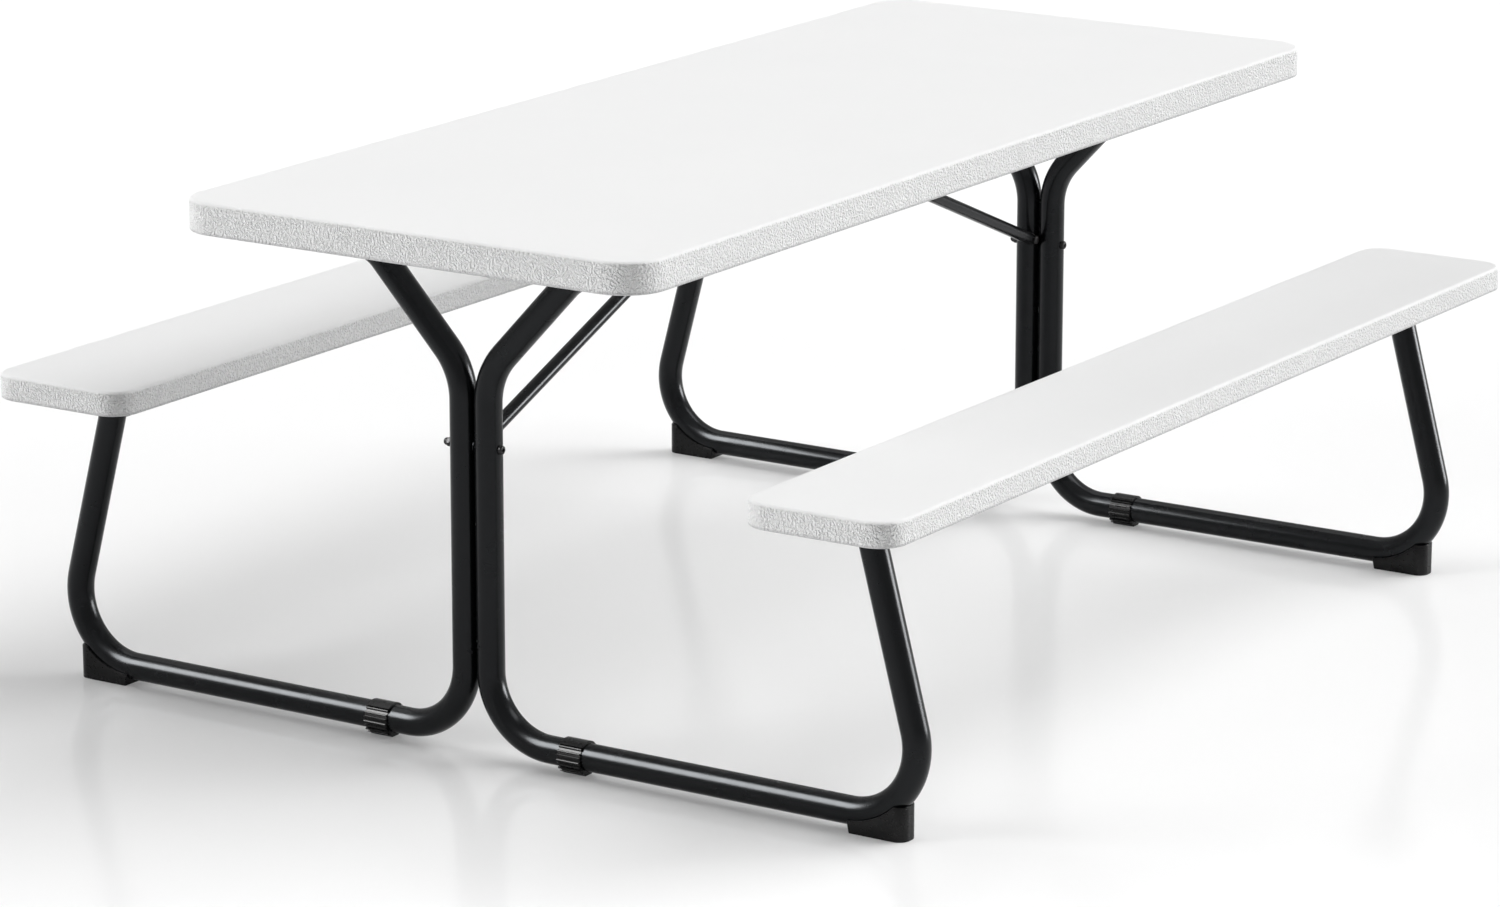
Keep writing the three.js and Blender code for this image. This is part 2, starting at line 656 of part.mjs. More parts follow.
for (const side of sides) {
  const bench = group(table, 0, side.sign * BENCH_OFFSET, 0);
  place(bench, `${side.name}_bench_seat`, moulding({
    length: BENCH_LENGTH,
    width: BENCH_WIDTH,
    corner: BENCH_CORNER,
    low: BENCH_RIM_BOTTOM,
    high: BENCH_HEIGHT,
    upperEdge: BENCH_EDGE,
    lowerEdge: BENCH_LOWER_EDGE,
    rim: BENCH_RIM,
    panelBottom: BENCH_PANEL_BOTTOM,
    wall: BENCH_WALL,
  }), 'white');
}

for (const end of ends) {
  const frame = group(table, end.sign * FRAME_OFFSET);
  for (const side of sides) {
    const tag = `${end.name}_${side.name}`;
    const half = group(frame, 0, 0, 0, side.turn);
    place(half, `${tag}_frame_tube`, halfTube(), 'frame');
    place(half, `${tag}_foot`, saddleFoot(), 'plastic');
    place(half, `${tag}_floor_pad`, floorPad(), 'plastic');
    place(half, `${tag}_hinge_block`, hingeBlock(), 'plastic');
    const pivot = group(half, 0, LEG_PIVOT_Y, BENCH_PIVOT_HEIGHT);
    place(pivot, `${tag}_bench_bracket`, benchBracket(), 'frame');
    place(pivot, `${tag}_bench_pin`, benchPin(), 'steel');
    const stubPlug = place(half, `${tag}_stub_plug`, tubePlug(), 'plastic');
    stubPlug.position.set(0, STUB_END_Y, HINGE_HEIGHT);
    const legPlug = place(pivot, `${tag}_leg_plug`, tubePlug(), 'plastic');
    legPlug.position.set(0, legUp.x * LEG_OVERRUN, legUp.y * LEG_OVERRUN);
    legPlug.rotation.x = Math.atan2(legUp.y, legUp.x);
  }
  const bolt = group(frame, 0, 0, BOLT_HEIGHT);
  place(bolt, `${end.name}_column_bolt`, columnBolt(), 'steel');
  place(bolt, `${end.name}_cap_nut`, capNut(), 'steel');
  const inboard = group(frame, 0, 0, 0, end.sign < 0 ? 0 : Math.PI);
  place(inboard, `${end.name}_brace_lug`, braceLug(), 'frame');
  const brace = group(inboard, BRACE_INSET, 0, BRACE_PIVOT_HEIGHT);
  brace.rotation.y = -BRACE_ANGLE;
  place(brace, `${end.name}_brace_rod`, braceRod(), 'frame');
  place(brace, `${end.name}_brace_pin`, headedPin(
    BRACE_PIN_RADIUS, -BRACE_RADIUS - FIT_GAP, BRACE_RADIUS + FIT_GAP), 'steel');
  const guideEnd = place(brace, `${end.name}_guide_pin`, guidePin(), 'steel');
  guideEnd.position.x = BRACE_LENGTH;
}

export default table;
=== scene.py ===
"""Looks of the folding cafeteria table with benches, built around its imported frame. Metres, +Z up."""

import json
import math

import bmesh
import bpy
from mathutils import Matrix, Vector

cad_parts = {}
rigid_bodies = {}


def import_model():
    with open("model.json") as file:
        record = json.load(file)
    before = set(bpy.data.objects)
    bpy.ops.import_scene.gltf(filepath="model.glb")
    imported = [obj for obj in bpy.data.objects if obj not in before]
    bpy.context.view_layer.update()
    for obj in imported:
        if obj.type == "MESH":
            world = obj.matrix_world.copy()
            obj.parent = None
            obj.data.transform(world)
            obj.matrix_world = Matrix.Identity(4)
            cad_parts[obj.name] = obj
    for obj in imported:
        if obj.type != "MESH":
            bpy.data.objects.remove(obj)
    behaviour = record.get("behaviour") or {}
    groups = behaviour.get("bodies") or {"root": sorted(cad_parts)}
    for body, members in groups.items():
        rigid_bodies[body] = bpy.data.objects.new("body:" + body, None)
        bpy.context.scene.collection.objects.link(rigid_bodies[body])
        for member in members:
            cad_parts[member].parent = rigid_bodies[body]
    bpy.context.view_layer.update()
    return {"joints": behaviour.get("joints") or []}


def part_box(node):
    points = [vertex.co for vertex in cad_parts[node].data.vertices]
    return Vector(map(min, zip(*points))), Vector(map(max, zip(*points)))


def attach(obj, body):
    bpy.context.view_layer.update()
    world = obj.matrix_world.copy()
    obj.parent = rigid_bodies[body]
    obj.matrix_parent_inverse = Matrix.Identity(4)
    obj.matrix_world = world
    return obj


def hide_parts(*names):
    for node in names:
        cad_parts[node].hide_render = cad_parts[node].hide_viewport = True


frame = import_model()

# Places that the frame gives
PIVOT = {joint["name"]: Vector(joint["pos_m"]) for joint in frame["joints"]}
FRAME_X = PIVOT["far_fold"].x
HINGE_Z = PIVOT["far_fold"].z
LEG_PIVOT = PIVOT["left_bench_pivot"]
BRACE_PIVOT = PIVOT["near_brace_pivot"]
BLOCK_LOW, BLOCK_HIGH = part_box("far_left_hinge_block")
BRACKET_LOW, BRACKET_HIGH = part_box("far_left_bench_bracket")
PAD_LOW, PAD_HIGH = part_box("far_left_floor_pad")
FOOT_LOW, FOOT_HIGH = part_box("far_left_foot")
PIN_LOW, PIN_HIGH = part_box("far_left_bench_pin")
BOLT_LOW, BOLT_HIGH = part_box("far_column_bolt")
NUT_LOW, NUT_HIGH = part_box("far_cap_nut")
LUG_LOW, LUG_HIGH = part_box("near_brace_lug")
GUIDE_LOW, GUIDE_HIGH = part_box("brace_guide")
GUIDE_PIN_LOW, GUIDE_PIN_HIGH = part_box("near_guide_pin")
BRACE_PIN_LOW, BRACE_PIN_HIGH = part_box("near_brace_pin")
BLOCK_HALF = (BLOCK_HIGH - BLOCK_LOW) / 2
BLOCK_MIDDLE = (BLOCK_HIGH + BLOCK_LOW) / 2
BRACKET_HALF = (BRACKET_HIGH - BRACKET_LOW) / 2
GUIDE_HALF = (GUIDE_HIGH - GUIDE_LOW) / 2

# Bent tubes
TUBE_RADIUS = 0.01905
TUBE_WALL = 0.0015
TUBE_LIP = 0.0004
COLUMN_Y = 0.02005
BAR_Z = 0.02505
CROTCH_Z = 0.5275
ARM_LEAN = math.radians(43.1)
LEG_LEAN = math.radians(15)
STUB_BEND = 0.060
ARM_BEND = 0.100
COLUMN_BEND = 0.095
OUTER_BEND = 0.098
STUB_OVERHANG = 0.012
LEG_OVERRUN = 0.017
PLUG_DEPTH = 0.006
PLUG_GAP = 0.0003
PLUG_CAP = 0.0025
PLUG_ROUND = 0.00175
PLUG_DISH = 0.000875
PLUG_STEPS = 5
DISH_RIM_SHARE = 0.62
DISH_FLOOR_SHARE = 0.56
BEND_STEP = math.radians(3)
TUBE_SIDES = 48

# Mouldings
CORNER_STEPS = 18
EDGE_RUN = 0.0055
EDGE_DROP = 0.0045
EDGE_STEPS = 8
EDGE_MARGIN = 0.004
GRAIN_START = 0.6
LOWER_ROUND = 0.003
LOWER_STEPS = 5
# Where the painted shade on the lower edge fades out, and how strong it is where the lower round begins
SHADE_RISE = 0.005
SHADE_START = 0.5
RECESS_DRAFT = 0.0025
RECESS_FILLET = 0.003
VENT_SETBACK = 0.120
VENT_RADIUS = 0.004
VENT_DEPTH = 0.009
CELL_SPLIT = 4
FLAT_MARGIN = 0.022

# Radius and depth of a dimple, from its mouth to its floor
DIMPLE = (
    (0.0205, 0.0),
    (0.0194, 0.0008),
    (0.0185, 0.0022),
    (0.0140, 0.0125),
    (0.0128, 0.0138),
    (0.0110, 0.0143),
)

# Small parts
SOFT_EDGE = 0.0008
EDGE_LAYERS = 3
SMOOTH_ANGLE = math.radians(32)
MERGE_DISTANCE = 1e-6
ROUND_SIDES = 40
PIN_SIDES = 28
SLIP = 0.0002
BOLT_RADIUS = 0.004
BRACE_RADIUS = 0.0095
BRACE_SLOT_DEPTH = 0.015
BRACE_SLOT = 0.0020
HEX_SIDES = 6
SCREW_FLANGE = 0.0062
SCREW_HEX = 0.0044
SCREW_HEIGHT = 0.0048
SCREW_OUTSET = 0.0095
SCREW_EDGE = 0.00048
FLANGE_HEIGHT = 0.00144
FLANGE_OVERLAP = 0.000144
MARK_RADIUS = 0.00242
MARK_RISE = 0.00032
MARK_EDGE = 0.00024

# Shares of a screw flange's radius and height, from its seat to its hexagon
FLANGE_SHAPE = ((1.0, 0.0), (1.0, 0.4), (0.82, 1.0), (0.5, 1.05))

ENDS = (("near", -1), ("far", 1))
SIDES = (("left", 1), ("right", -1))
AXES = ("X", "Y", "Z")
X_AXIS, Y_AXIS, Z_AXIS = AXES


# Meshes

def oriented(axis, first, second, along):
    """A point whose plane coordinates are first and second, at a place along the axis."""
    values = [first, second]
    values.insert(AXES.index(axis), along)
    return Vector(values)


def placed(axis, outline, along):
    """The points of a plane outline at a place along the axis."""
    return [oriented(axis, x, y, along) for x, y in outline]


def add_ring(mesh, points):
    return [mesh.verts.new(point) for point in points]


def bridge(mesh, first, second):
    count = len(first)
    for index in range(count):
        after = (index + 1) % count
        mesh.faces.new((first[index], first[after], second[after], second[index]))


def fan(mesh, ring, point):
    tip = mesh.verts.new(point)
    count = len(ring)
    for index in range(count):
        mesh.faces.new((ring[index], ring[(index + 1) % count], tip))


def skin(mesh, rings):
    for first, second in zip(rings, rings[1:]):
        bridge(mesh, first, second)


def loft(mesh, loops, closed=True):
    """Skins a row of loops that have the same number of points, closed at both ends or at none."""
    rings = [add_ring(mesh, loop) for loop in loops]
    skin(mesh, rings)
    if closed:
        mesh.faces.new(rings[0])
        mesh.faces.new(rings[-1])
    return rings


def ring_edges(mesh, ring):
    """The edges of a ring of points, made where they are missing."""
    count = len(ring)
    edges = []
    for index in range(count):
        pair = (ring[index], ring[(index + 1) % count])
        edges.append(mesh.edges.get(pair) or mesh.edges.new(pair))
    return edges


def shares(steps):
    """Even shares from nothing to one."""
    return [step / steps for step in range(steps + 1)]


def arc(radius, centre, start, sweep, steps):
    """Points round an arc, from its start angle through its sweep."""
    angles = [start + sweep * share for share in shares(steps)]
    return [(centre[0] + radius * math.cos(angle), centre[1] + radius * math.sin(angle)) for angle in angles]


def circle(radius, sides, centre=(0.0, 0.0), start=0.0):
    return arc(radius, centre, start, 2 * math.pi, sides)[:-1]


def rounded_outline(corners, steps=8):
    """An outline through corners given as (x, y, radius), with an arc at each."""
    points = []
    count = len(corners)
    for index in range(count):
        corner = Vector(corners[index][:2])
        radius = corners[index][2]
        before = (Vector(corners[index - 1][:2]) - corner).normalized()
        after = (Vector(corners[(index + 1) % count][:2]) - corner).normalized()
        if radius <= 0:
            points.append(corner)
            continue
        half = before.angle(after) / 2
        middle = (before + after).normalized()
        centre = corner + middle * (radius / math.sin(half))
        start = corner + before * (radius / math.tan(half)) - centre
        sweep = math.pi - 2 * half
        turn = sweep if start.x * middle.y - start.y * middle.x < 0 else -sweep
        for share in shares(steps):
            points.append(centre + Matrix.Rotation(turn * share, 2) @ start)
    kept = []
    for index, point in enumerate(points):
        if (point - points[index - 1]).length > MERGE_DISTANCE:
            kept.append((point.x, point.y))
    return kept


def mirrored(half):
    """Corners of (x, y, radius) on the left, followed by the same on the right."""
    return half + [(-x, y, radius) for x, y, radius in reversed(half)]


def area(outline):
    total = 0.0
    for index, (x, y) in enumerate(outline):
        before = outline[index - 1]
        total += before[0] * y - x * before[1]
    return total / 2


def inset(outline, distance):
    """The outline moved inwards by a distance, point by point."""
    inward = 1 if area(outline) > 0 else -1
    moved = []
    count = len(outline)
    for index in range(count):
        here = Vector(outline[index])
        back = (here - Vector(outline[index - 1])).normalized()
        ahead = (Vector(outline[(index + 1) % count]) - here).normalized()
        first = Vector((-back.y, back.x)) * inward
        second = Vector((-ahead.y, ahead.x)) * inward
        step = (first + second) / (1 + first.dot(second))
        moved.append((here.x + step.x * distance, here.y + step.y * distance))
    return moved


def quarter_turn(steps):
    """Angles from nothing to a right angle, in even steps."""
    return [math.pi / 2 * share for share in shares(steps)]


def quarter(radius, steps=4):
    """Pairs of (rise, run) round a quarter circle of that radius, from its level end to its steep end."""
    return [(radius * (1 - math.cos(angle)), radius * math.sin(angle)) for angle in quarter_turn(steps)]


def plate(mesh, outline, low, high, axis, holes=(), edge=SOFT_EDGE):
    """A flat body with soft edges: an outline with holes, from low to high along an axis."""
    layers = []
    for angle in quarter_turn(EDGE_LAYERS):
        layers.append((edge * (1 - math.sin(angle)), low + edge * (1 - math.cos(angle))))
    layers += [(gap, low + high - along) for gap, along in reversed(layers)]
    loops = [placed(axis, inset(outline, gap), along) for gap, along in layers]
    rings = loft(mesh, loops, closed=False)
    for ring, along in ((rings[0], low), (rings[-1], high)):
        edges = ring_edges(mesh, ring)
        for hole in holes:
            rim = add_ring(mesh, placed(axis, hole, along))
            edges += ring_edges(mesh, rim)
        bmesh.ops.triangle_fill(mesh, use_beauty=True, edges=edges, normal=oriented(axis, 0, 0, 1))
    for hole in holes:
        walls = [placed(axis, hole, along) for along in (low, high)]
        loft(mesh, walls, closed=False)
    if holes:
        bmesh.ops.remove_doubles(mesh, verts=mesh.verts, dist=MERGE_DISTANCE)


def lathe(mesh, profile, sides, axis, centre=(0.0, 0.0)):
    """A turned body: a profile of (radius, place) along an axis, with a tip where an end has no radius."""
    rings = []
    for radius, along in profile:
        if radius > 0:
            rings.append(add_ring(mesh, placed(axis, circle(radius, sides, centre), along)))
    skin(mesh, rings)
    for ring, (radius, along) in ((rings[0], profile[0]), (rings[-1], profile[-1])):
        if radius > 0:
            mesh.faces.new(ring)
        else:
            fan(mesh, ring, oriented(axis, centre[0], centre[1], along))


def piece(name, mesh, matrix=None):
    """Turns a built mesh into an object with smooth faces and crisp edges."""
    if matrix is not None:
        bmesh.ops.transform(mesh, matrix=matrix, verts=mesh.verts)
    bmesh.ops.recalc_face_normals(mesh, faces=mesh.faces)
    data = bpy.data.meshes.new(name)
    mesh.to_mesh(data)
    mesh.free()
    data.shade_smooth()
    data.set_sharp_from_angle(angle=SMOOTH_ANGLE)
    made = bpy.data.objects.new(name, data)
    bpy.context.scene.collection.objects.link(made)
    return made


def install(made, body, slot, *nodes):
    """Gives a piece its material and its body, and hides the nodes that it stands for."""
    made.data.materials.clear()
    made.data.materials.append(MATERIALS[slot])
    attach(made, body)
    if nodes:
        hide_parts(*nodes)


def carve(made, tool):
    """Cuts one object out of another and keeps the result as its mesh."""
    modifier = made.modifiers.new("carve", "BOOLEAN")
    modifier.operation = "DIFFERENCE"
    modifier.solver = "EXACT"
    modifier.object = tool
    graph = bpy.context.evaluated_depsgraph_get()
    data = bpy.data.meshes.new_from_object(made.evaluated_get(graph))
    made.modifiers.clear()
    old = made.data
    made.data = data
    bpy.data.meshes.remove(old)
    tool_data = tool.data
    bpy.data.objects.remove(tool)
    bpy.data.meshes.remove(tool_data)
    data.shade_smooth()
    data.set_sharp_from_angle(angle=SMOOTH_ANGLE)


# Materials

# Where most of a noise lies
NOISE_LOW, NOISE_HIGH = 0.3, 0.7

# Places of the colour sockets of a mix node
MIX_LOW, MIX_HIGH, MIX_RESULT = 6, 7, 2


def feed(node, **values):
    """Sets inputs of a node by their names, with underscores for spaces."""
    for name, value in values.items():
        node.inputs[name.replace("_", " ")].default_value = value


class Shader:
    """One material: its node tree, its surface shader and the coordinates that ride with the piece."""

    def __init__(self, name):
        self.material = bpy.data.materials.new(name)
        self.material.use_nodes = True
        self.tree = self.material.node_tree
        self.surface = self.tree.nodes["Principled BSDF"]
        self.place = self.node("ShaderNodeTexCoord").outputs["Object"]

    def node(self, kind, **settings):
        made = self.tree.nodes.new(kind)
        for name, value in settings.items():
            setattr(made, name, value)
        return made

    def link(self, output, target):
        self.tree.links.new(output, target)

    def noise(self, scale, detail=2.0, distortion=0.0):
        made = self.node("ShaderNodeTexNoise")
        feed(made, Scale=scale, Detail=detail, Distortion=distortion)
        self.link(self.place, made.inputs["Vector"])
        return made.outputs["Fac"]

    def span(self, value, low, high, start=0.0, end=1.0):
        made = self.node("ShaderNodeMapRange")
        feed(made, From_Min=start, From_Max=end, To_Min=low, To_Max=high)
        self.link(value, made.inputs["Value"])
        return made.outputs["Result"]

    def spread(self, low, high, **kind):
        """A noise stretched so that most of it runs from low to high."""
        return self.span(self.noise(**kind), low, high, NOISE_LOW, NOISE_HIGH)

    def clouded(self, low, high, **kind):
        """A colour that drifts between two others."""
        return self.mix(self.noise(**kind), low, high)

    def math(self, operation, first, second):
        made = self.node("ShaderNodeMath", operation=operation)
        for socket, value in zip(made.inputs, (first, second)):
            if isinstance(value, float):
                socket.default_value = value
            else:
                self.link(value, socket)
        return made.outputs["Value"]

    def mix(self, factor, low, high):
        made = self.node("ShaderNodeMix", data_type="RGBA")
        self.link(factor, made.inputs["Factor"])
        for socket, value in ((made.inputs[MIX_LOW], low), (made.inputs[MIX_HIGH], high)):
            if isinstance(value, tuple):
                socket.default_value = (*value, 1.0)
            else:
                self.link(value, socket)
        return made.outputs[MIX_RESULT]

    def bump(self, height, distance, normal=None):
        made = self.node("ShaderNodeBump")
        feed(made, Distance=distance)
        self.link(height, made.inputs["Height"])
        if normal is not None:
            self.link(normal, made.inputs["Normal"])
        return made.outputs["Normal"]

    def finish(self, colour, roughness, normal):
        self.link(colour, self.surface.inputs["Base Color"])
        self.link(roughness, self.surface.inputs["Roughness"])
        self.link(normal, self.surface.inputs["Normal"])
        return self.material


WHITE_LOW = (0.846, 0.848, 0.848)
WHITE_HIGH = (0.872, 0.873, 0.871)
PEBBLE_SCALE = 340.0
PEBBLE_HEIGHT = 0.0022
# Painted shade in the hollows of the grain: its colour and its strength
HOLLOW_PAINTED_SHADE = (0.50, 0.50, 0.505)
HOLLOW_PAINTED_SHADE_SHARE = 0.34
# Painted shade along the lower edge: its colour and its strength
EDGE_PAINTED_SHADE = (0.36, 0.36, 0.365)
EDGE_PAINTED_SHADE_SHARE = 0.75
GRAIN_ROUGHNESS = 0.06


def white_plastic():
    """Satin white moulded plastic, with an embossed grain, painted shade in the grain's hollows, and painted
    shade along the lower edge where the mesh says so.
    """
    shader = Shader("white_plastic")
    feed(shader.surface, Specular_IOR_Level=0.13)
    mask = shader.node("ShaderNodeAttribute", attribute_name="grain").outputs["Fac"]
    # Where the mesh marks painted shade on the lower edge
    edge = shader.node("ShaderNodeAttribute", attribute_name="shade").outputs["Fac"]
    pebbles = shader.spread(low=0.0, high=1.0, scale=PEBBLE_SCALE, detail=1.0, distortion=0.3)
    # Painted shade in the hollows of the grain, darker where the pebbles are low
    hollow_painted_shade = shader.math("MULTIPLY", shader.span(pebbles, HOLLOW_PAINTED_SHADE_SHARE, 0.0), mask)
    plain = shader.clouded(WHITE_LOW, WHITE_HIGH, scale=4.0, detail=3.0)
    grained = shader.mix(hollow_painted_shade, plain, HOLLOW_PAINTED_SHADE)
    # Painted shade along the lower edge, darkening the colour
    colour = shader.mix(shader.math("MULTIPLY", edge, EDGE_PAINTED_SHADE_SHARE), grained, EDGE_PAINTED_SHADE)
    fine = shader.bump(shader.noise(scale=1600.0), distance=0.00003)
    normal = shader.bump(shader.math("MULTIPLY", pebbles, mask), PEBBLE_HEIGHT, fine)
    satin = shader.spread(low=0.42, high=0.48, scale=60.0)
    roughness = shader.math("ADD", satin, shader.math("MULTIPLY", mask, GRAIN_ROUGHNESS))
    return shader.finish(colour, roughness, normal)


PAINT_LOW = (0.0014, 0.0015, 0.0018)
PAINT_HIGH = (0.0024, 0.0025, 0.0029)
PAINT_TINT = (0.92, 0.96, 1.0, 1.0)


def frame_paint():
    """Smooth black enamel over steel, with a trace of orange peel."""
    shader = Shader("frame_paint")
    feed(shader.surface, Specular_IOR_Level=0.26, Specular_Tint=PAINT_TINT)
    colour = shader.clouded(PAINT_LOW, PAINT_HIGH, scale=9.0, detail=3.0)
    normal = shader.bump(shader.noise(scale=420.0, detail=1.0), distance=0.00002)
    roughness = shader.spread(low=0.22, high=0.28, scale=45.0, detail=3.0)
    return shader.finish(colour, roughness, normal)


PLASTIC_LOW = (0.0016, 0.0016, 0.0018)
PLASTIC_HIGH = (0.0030, 0.0030, 0.0031)


def black_plastic():
    """Black moulded plastic with a fine spark-eroded grain."""
    shader = Shader("black_plastic")
    feed(shader.surface, Specular_IOR_Level=0.26)
    colour = shader.clouded(PLASTIC_LOW, PLASTIC_HIGH, scale=40.0, detail=3.0)
    normal = shader.bump(shader.noise(scale=1500.0), distance=0.00002)
    roughness = shader.spread(low=0.26, high=0.32, scale=220.0)
    return shader.finish(colour, roughness, normal)


STEEL_LOW = (0.020, 0.020, 0.022)
STEEL_HIGH = (0.040, 0.039, 0.038)


def black_steel():
    """Black oxide on turned and pressed steel."""
    shader = Shader("black_steel")
    feed(shader.surface, Metallic=0.75)
    colour = shader.clouded(STEEL_LOW, STEEL_HIGH, scale=120.0, detail=4.0)
    normal = shader.bump(shader.noise(scale=1500.0), distance=0.00002)
    roughness = shader.spread(low=0.28, high=0.40, scale=500.0)
    return shader.finish(colour, roughness, normal)


MATERIALS = {make.__name__: make() for make in (white_plastic, frame_paint, black_plastic, black_steel)}


# Mouldings

def rounded_rectangle(length, width, corner):
    points = []
    for turn, (along, across) in enumerate(((1, 1), (-1, 1), (-1, -1), (1, -1))):
        centre = (along * (length / 2 - corner), across * (width / 2 - corner))
        points += arc(corner, centre, math.pi / 2 * turn, math.pi / 2, CORNER_STEPS)
    return points


def covered(x, y, spots):
    """Whether a place on the underside is taken by a fitting."""
    for low, high in spots:
        inside_x = low.x - FLAT_MARGIN < x < high.x + FLAT_MARGIN
        if inside_x and low.y - FLAT_MARGIN < y < high.y + FLAT_MARGIN:
            return True
    return False


def odd_count(length, pitch):
    count = round(length / pitch)
    return count if count % 2 else count - 1


def dimpled_panel(mesh, length, width, z, pitch, vent_x, spots):
    """The underside panel: a grid of conical dimples, flat under the fittings, with one blow hole."""
    columns = odd_count(length, pitch)
    rows = odd_count(width, pitch)
    step_x = length / columns / CELL_SPLIT
    step_y = width / rows / CELL_SPLIT
    lattice = {}

    def corner(i, j):
        if (i, j) not in lattice:
            lattice[i, j] = mesh.verts.new((i * step_x - length / 2, j * step_y - width / 2, z))
        return lattice[i, j]

    def border(column, row):
        right, high = (column + 1) * CELL_SPLIT, (row + 1) * CELL_SPLIT
        left, low = column * CELL_SPLIT, row * CELL_SPLIT
        walk = [(right - step, high) for step in range(CELL_SPLIT)]
        walk += [(left, high - step) for step in range(CELL_SPLIT)]
        walk += [(left + step, low) for step in range(CELL_SPLIT)]
        walk += [(right, low + step) for step in range(CELL_SPLIT)]
        return [corner(*place) for place in walk]

    def well(ring, x, y, profile):
        for radius, depth in profile:
            points = circle(radius, len(ring), (x, y), math.pi / 4)
            inner = add_ring(mesh, [(px, py, z + depth) for px, py in points])
            bridge(mesh, ring, inner)
            ring = inner
        mesh.faces.new(ring)

    vent_column = int((vent_x + length / 2) / (length / columns))
    for column in range(columns):
        for row in range(rows):
            ring = border(column, row)
            x = (column + 0.5) * length / columns - length / 2
            y = (row + 0.5) * width / rows - width / 2
            if column == vent_column and row == rows // 2:
                well(ring, vent_x, 0.0, ((VENT_RADIUS, 0.0), (VENT_RADIUS, VENT_DEPTH)))
            elif covered(x, y, spots):
                mesh.faces.new(ring)
            else:
                well(ring, x, y, DIMPLE)


def moulding_profile(low, high, form):
    """Rows of (distance in, height, corner radius, grain, painted shade) from the top round to the recess."""
    rim, corner = form["rim"], form["corner"]
    panel = high - form["panel"]
    rows = [(EDGE_RUN + EDGE_MARGIN, high, corner - EDGE_RUN, 0.0, 0.0)]
    for share, angle in zip(shares(EDGE_STEPS), quarter_turn(EDGE_STEPS)):
        gap = EDGE_RUN * (1 - math.sin(angle))
        grain = max(share - GRAIN_START, 0.0) / (1 - GRAIN_START)
        rows.append((gap, high - EDGE_DROP * (1 - math.cos(angle)), corner - gap, grain, 0.0))
    rows.append((0.0, low + SHADE_RISE, corner, 1.0, 0.0))
    # The lower round carries painted shade, strongest at its bottom
    for share, angle in zip(shares(LOWER_STEPS), quarter_turn(LOWER_STEPS)):
        gap = LOWER_ROUND * (1 - math.cos(angle))
        shade = SHADE_START + (1 - SHADE_START) * share
        rows.append((gap, low + LOWER_ROUND * (1 - math.sin(angle)), corner - gap, 1 - share, shade))
    for rise, out in quarter(RECESS_FILLET):
        rows.append((rim - RECESS_FILLET + out, low + rise, corner, 0.0, 0.0))
    for rise, out in reversed(quarter(RECESS_FILLET)):
        rows.append((rim + RECESS_DRAFT + RECESS_FILLET - out, panel - rise, corner, 0.0, 0.0))
    return rows


def moulding(name, node, form, fittings):
    """A double-walled panel with soft edges, a grained rim and an underside dimpled round its fittings."""
    low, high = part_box(node)
    length, width = high.x - low.x, high.y - low.y
    centre = Vector((0, (high.y + low.y) / 2, 0))
    mesh = bmesh.new()
    grained = mesh.verts.layers.float.new("grain")
    # Per vertex, how much painted shade the lower edge gets
    painted_shade_layer = mesh.verts.layers.float.new("shade")
    rings = []
    for gap, z, radius, grain, shade in moulding_profile(low.z, high.z, form):
        outline = rounded_rectangle(length - 2 * gap, width - 2 * gap, radius)
        ring = add_ring(mesh, [(x, y, z) for x, y in outline])
        for vertex in ring:
            vertex[grained] = grain
            vertex[painted_shade_layer] = shade
        rings.append(ring)
    skin(mesh, rings)
    mesh.faces.new(rings[0])
    floor_edges = ring_edges(mesh, rings[-1])
    taken = len(mesh.edges)
    inner = form["rim"] + RECESS_DRAFT + RECESS_FILLET + form["border"]
    panel, vent_x = high.z - form["panel"], length / 2 - VENT_SETBACK
    spots = [[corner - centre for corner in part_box(fitting)] for fitting in fittings]
    dimpled_panel(mesh, length - 2 * inner, width - 2 * inner, panel, form["pitch"], vent_x, spots)
    mesh.edges.ensure_lookup_table()
    loose = [each for each in list(mesh.edges)[taken:] if len(each.link_faces) == 1]
    bmesh.ops.triangle_fill(mesh, use_beauty=True, edges=floor_edges + loose, normal=(0, 0, -1))
    return piece(name, mesh, Matrix.Translation(centre))


TOP_FORM = {"corner": 0.060, "rim": 0.038, "panel": 0.023, "border": 0.020, "pitch": 0.058}
SEAT_FORM = {"corner": 0.040, "rim": 0.024, "panel": 0.022, "border": 0.014, "pitch": 0.050}
blocks = [f"{end}_{side}_hinge_block" for end, _ in ENDS for side, _ in SIDES]
top = moulding("tabletop_moulding", "tabletop", TOP_FORM, blocks + ["brace_guide"])
install(top, "top", "white_plastic", "tabletop")
for side, _ in SIDES:
    brackets = [f"{end}_{side}_bench_bracket" for end, _ in ENDS]
    seat = moulding(f"{side}_bench_moulding", f"{side}_bench_seat", SEAT_FORM, brackets)
    install(seat, f"{side}_bench", "white_plastic", f"{side}_bench_seat")


# Bent tubes

def bent_path(corners):
    """Stations of (place, direction) along straight runs with an arc at each inner corner, in (y, z)."""
    points = [Vector(corner[:2]) for corner in corners]
    headings = [(second - first).normalized() for first, second in zip(points, points[1:])]
    stations = [(points[0], headings[0])]
    for index in range(1, len(points) - 1):
        before, after = headings[index - 1], headings[index]
        turn = math.atan2(before.x * after.y - before.y * after.x, before.dot(after))
        radius = corners[index][2]
        start = points[index] - before * radius * math.tan(abs(turn) / 2)
        side = math.copysign(1, turn)
        centre = start + Vector((-before.y, before.x)) * side * radius
        steps = math.ceil(abs(turn) / BEND_STEP)
        for share in shares(steps):
            spin = Matrix.Rotation(turn * share, 2)
            stations.append((centre + spin @ (start - centre), spin @ before))
    stations.append((points[-1], headings[-1]))
    return stations


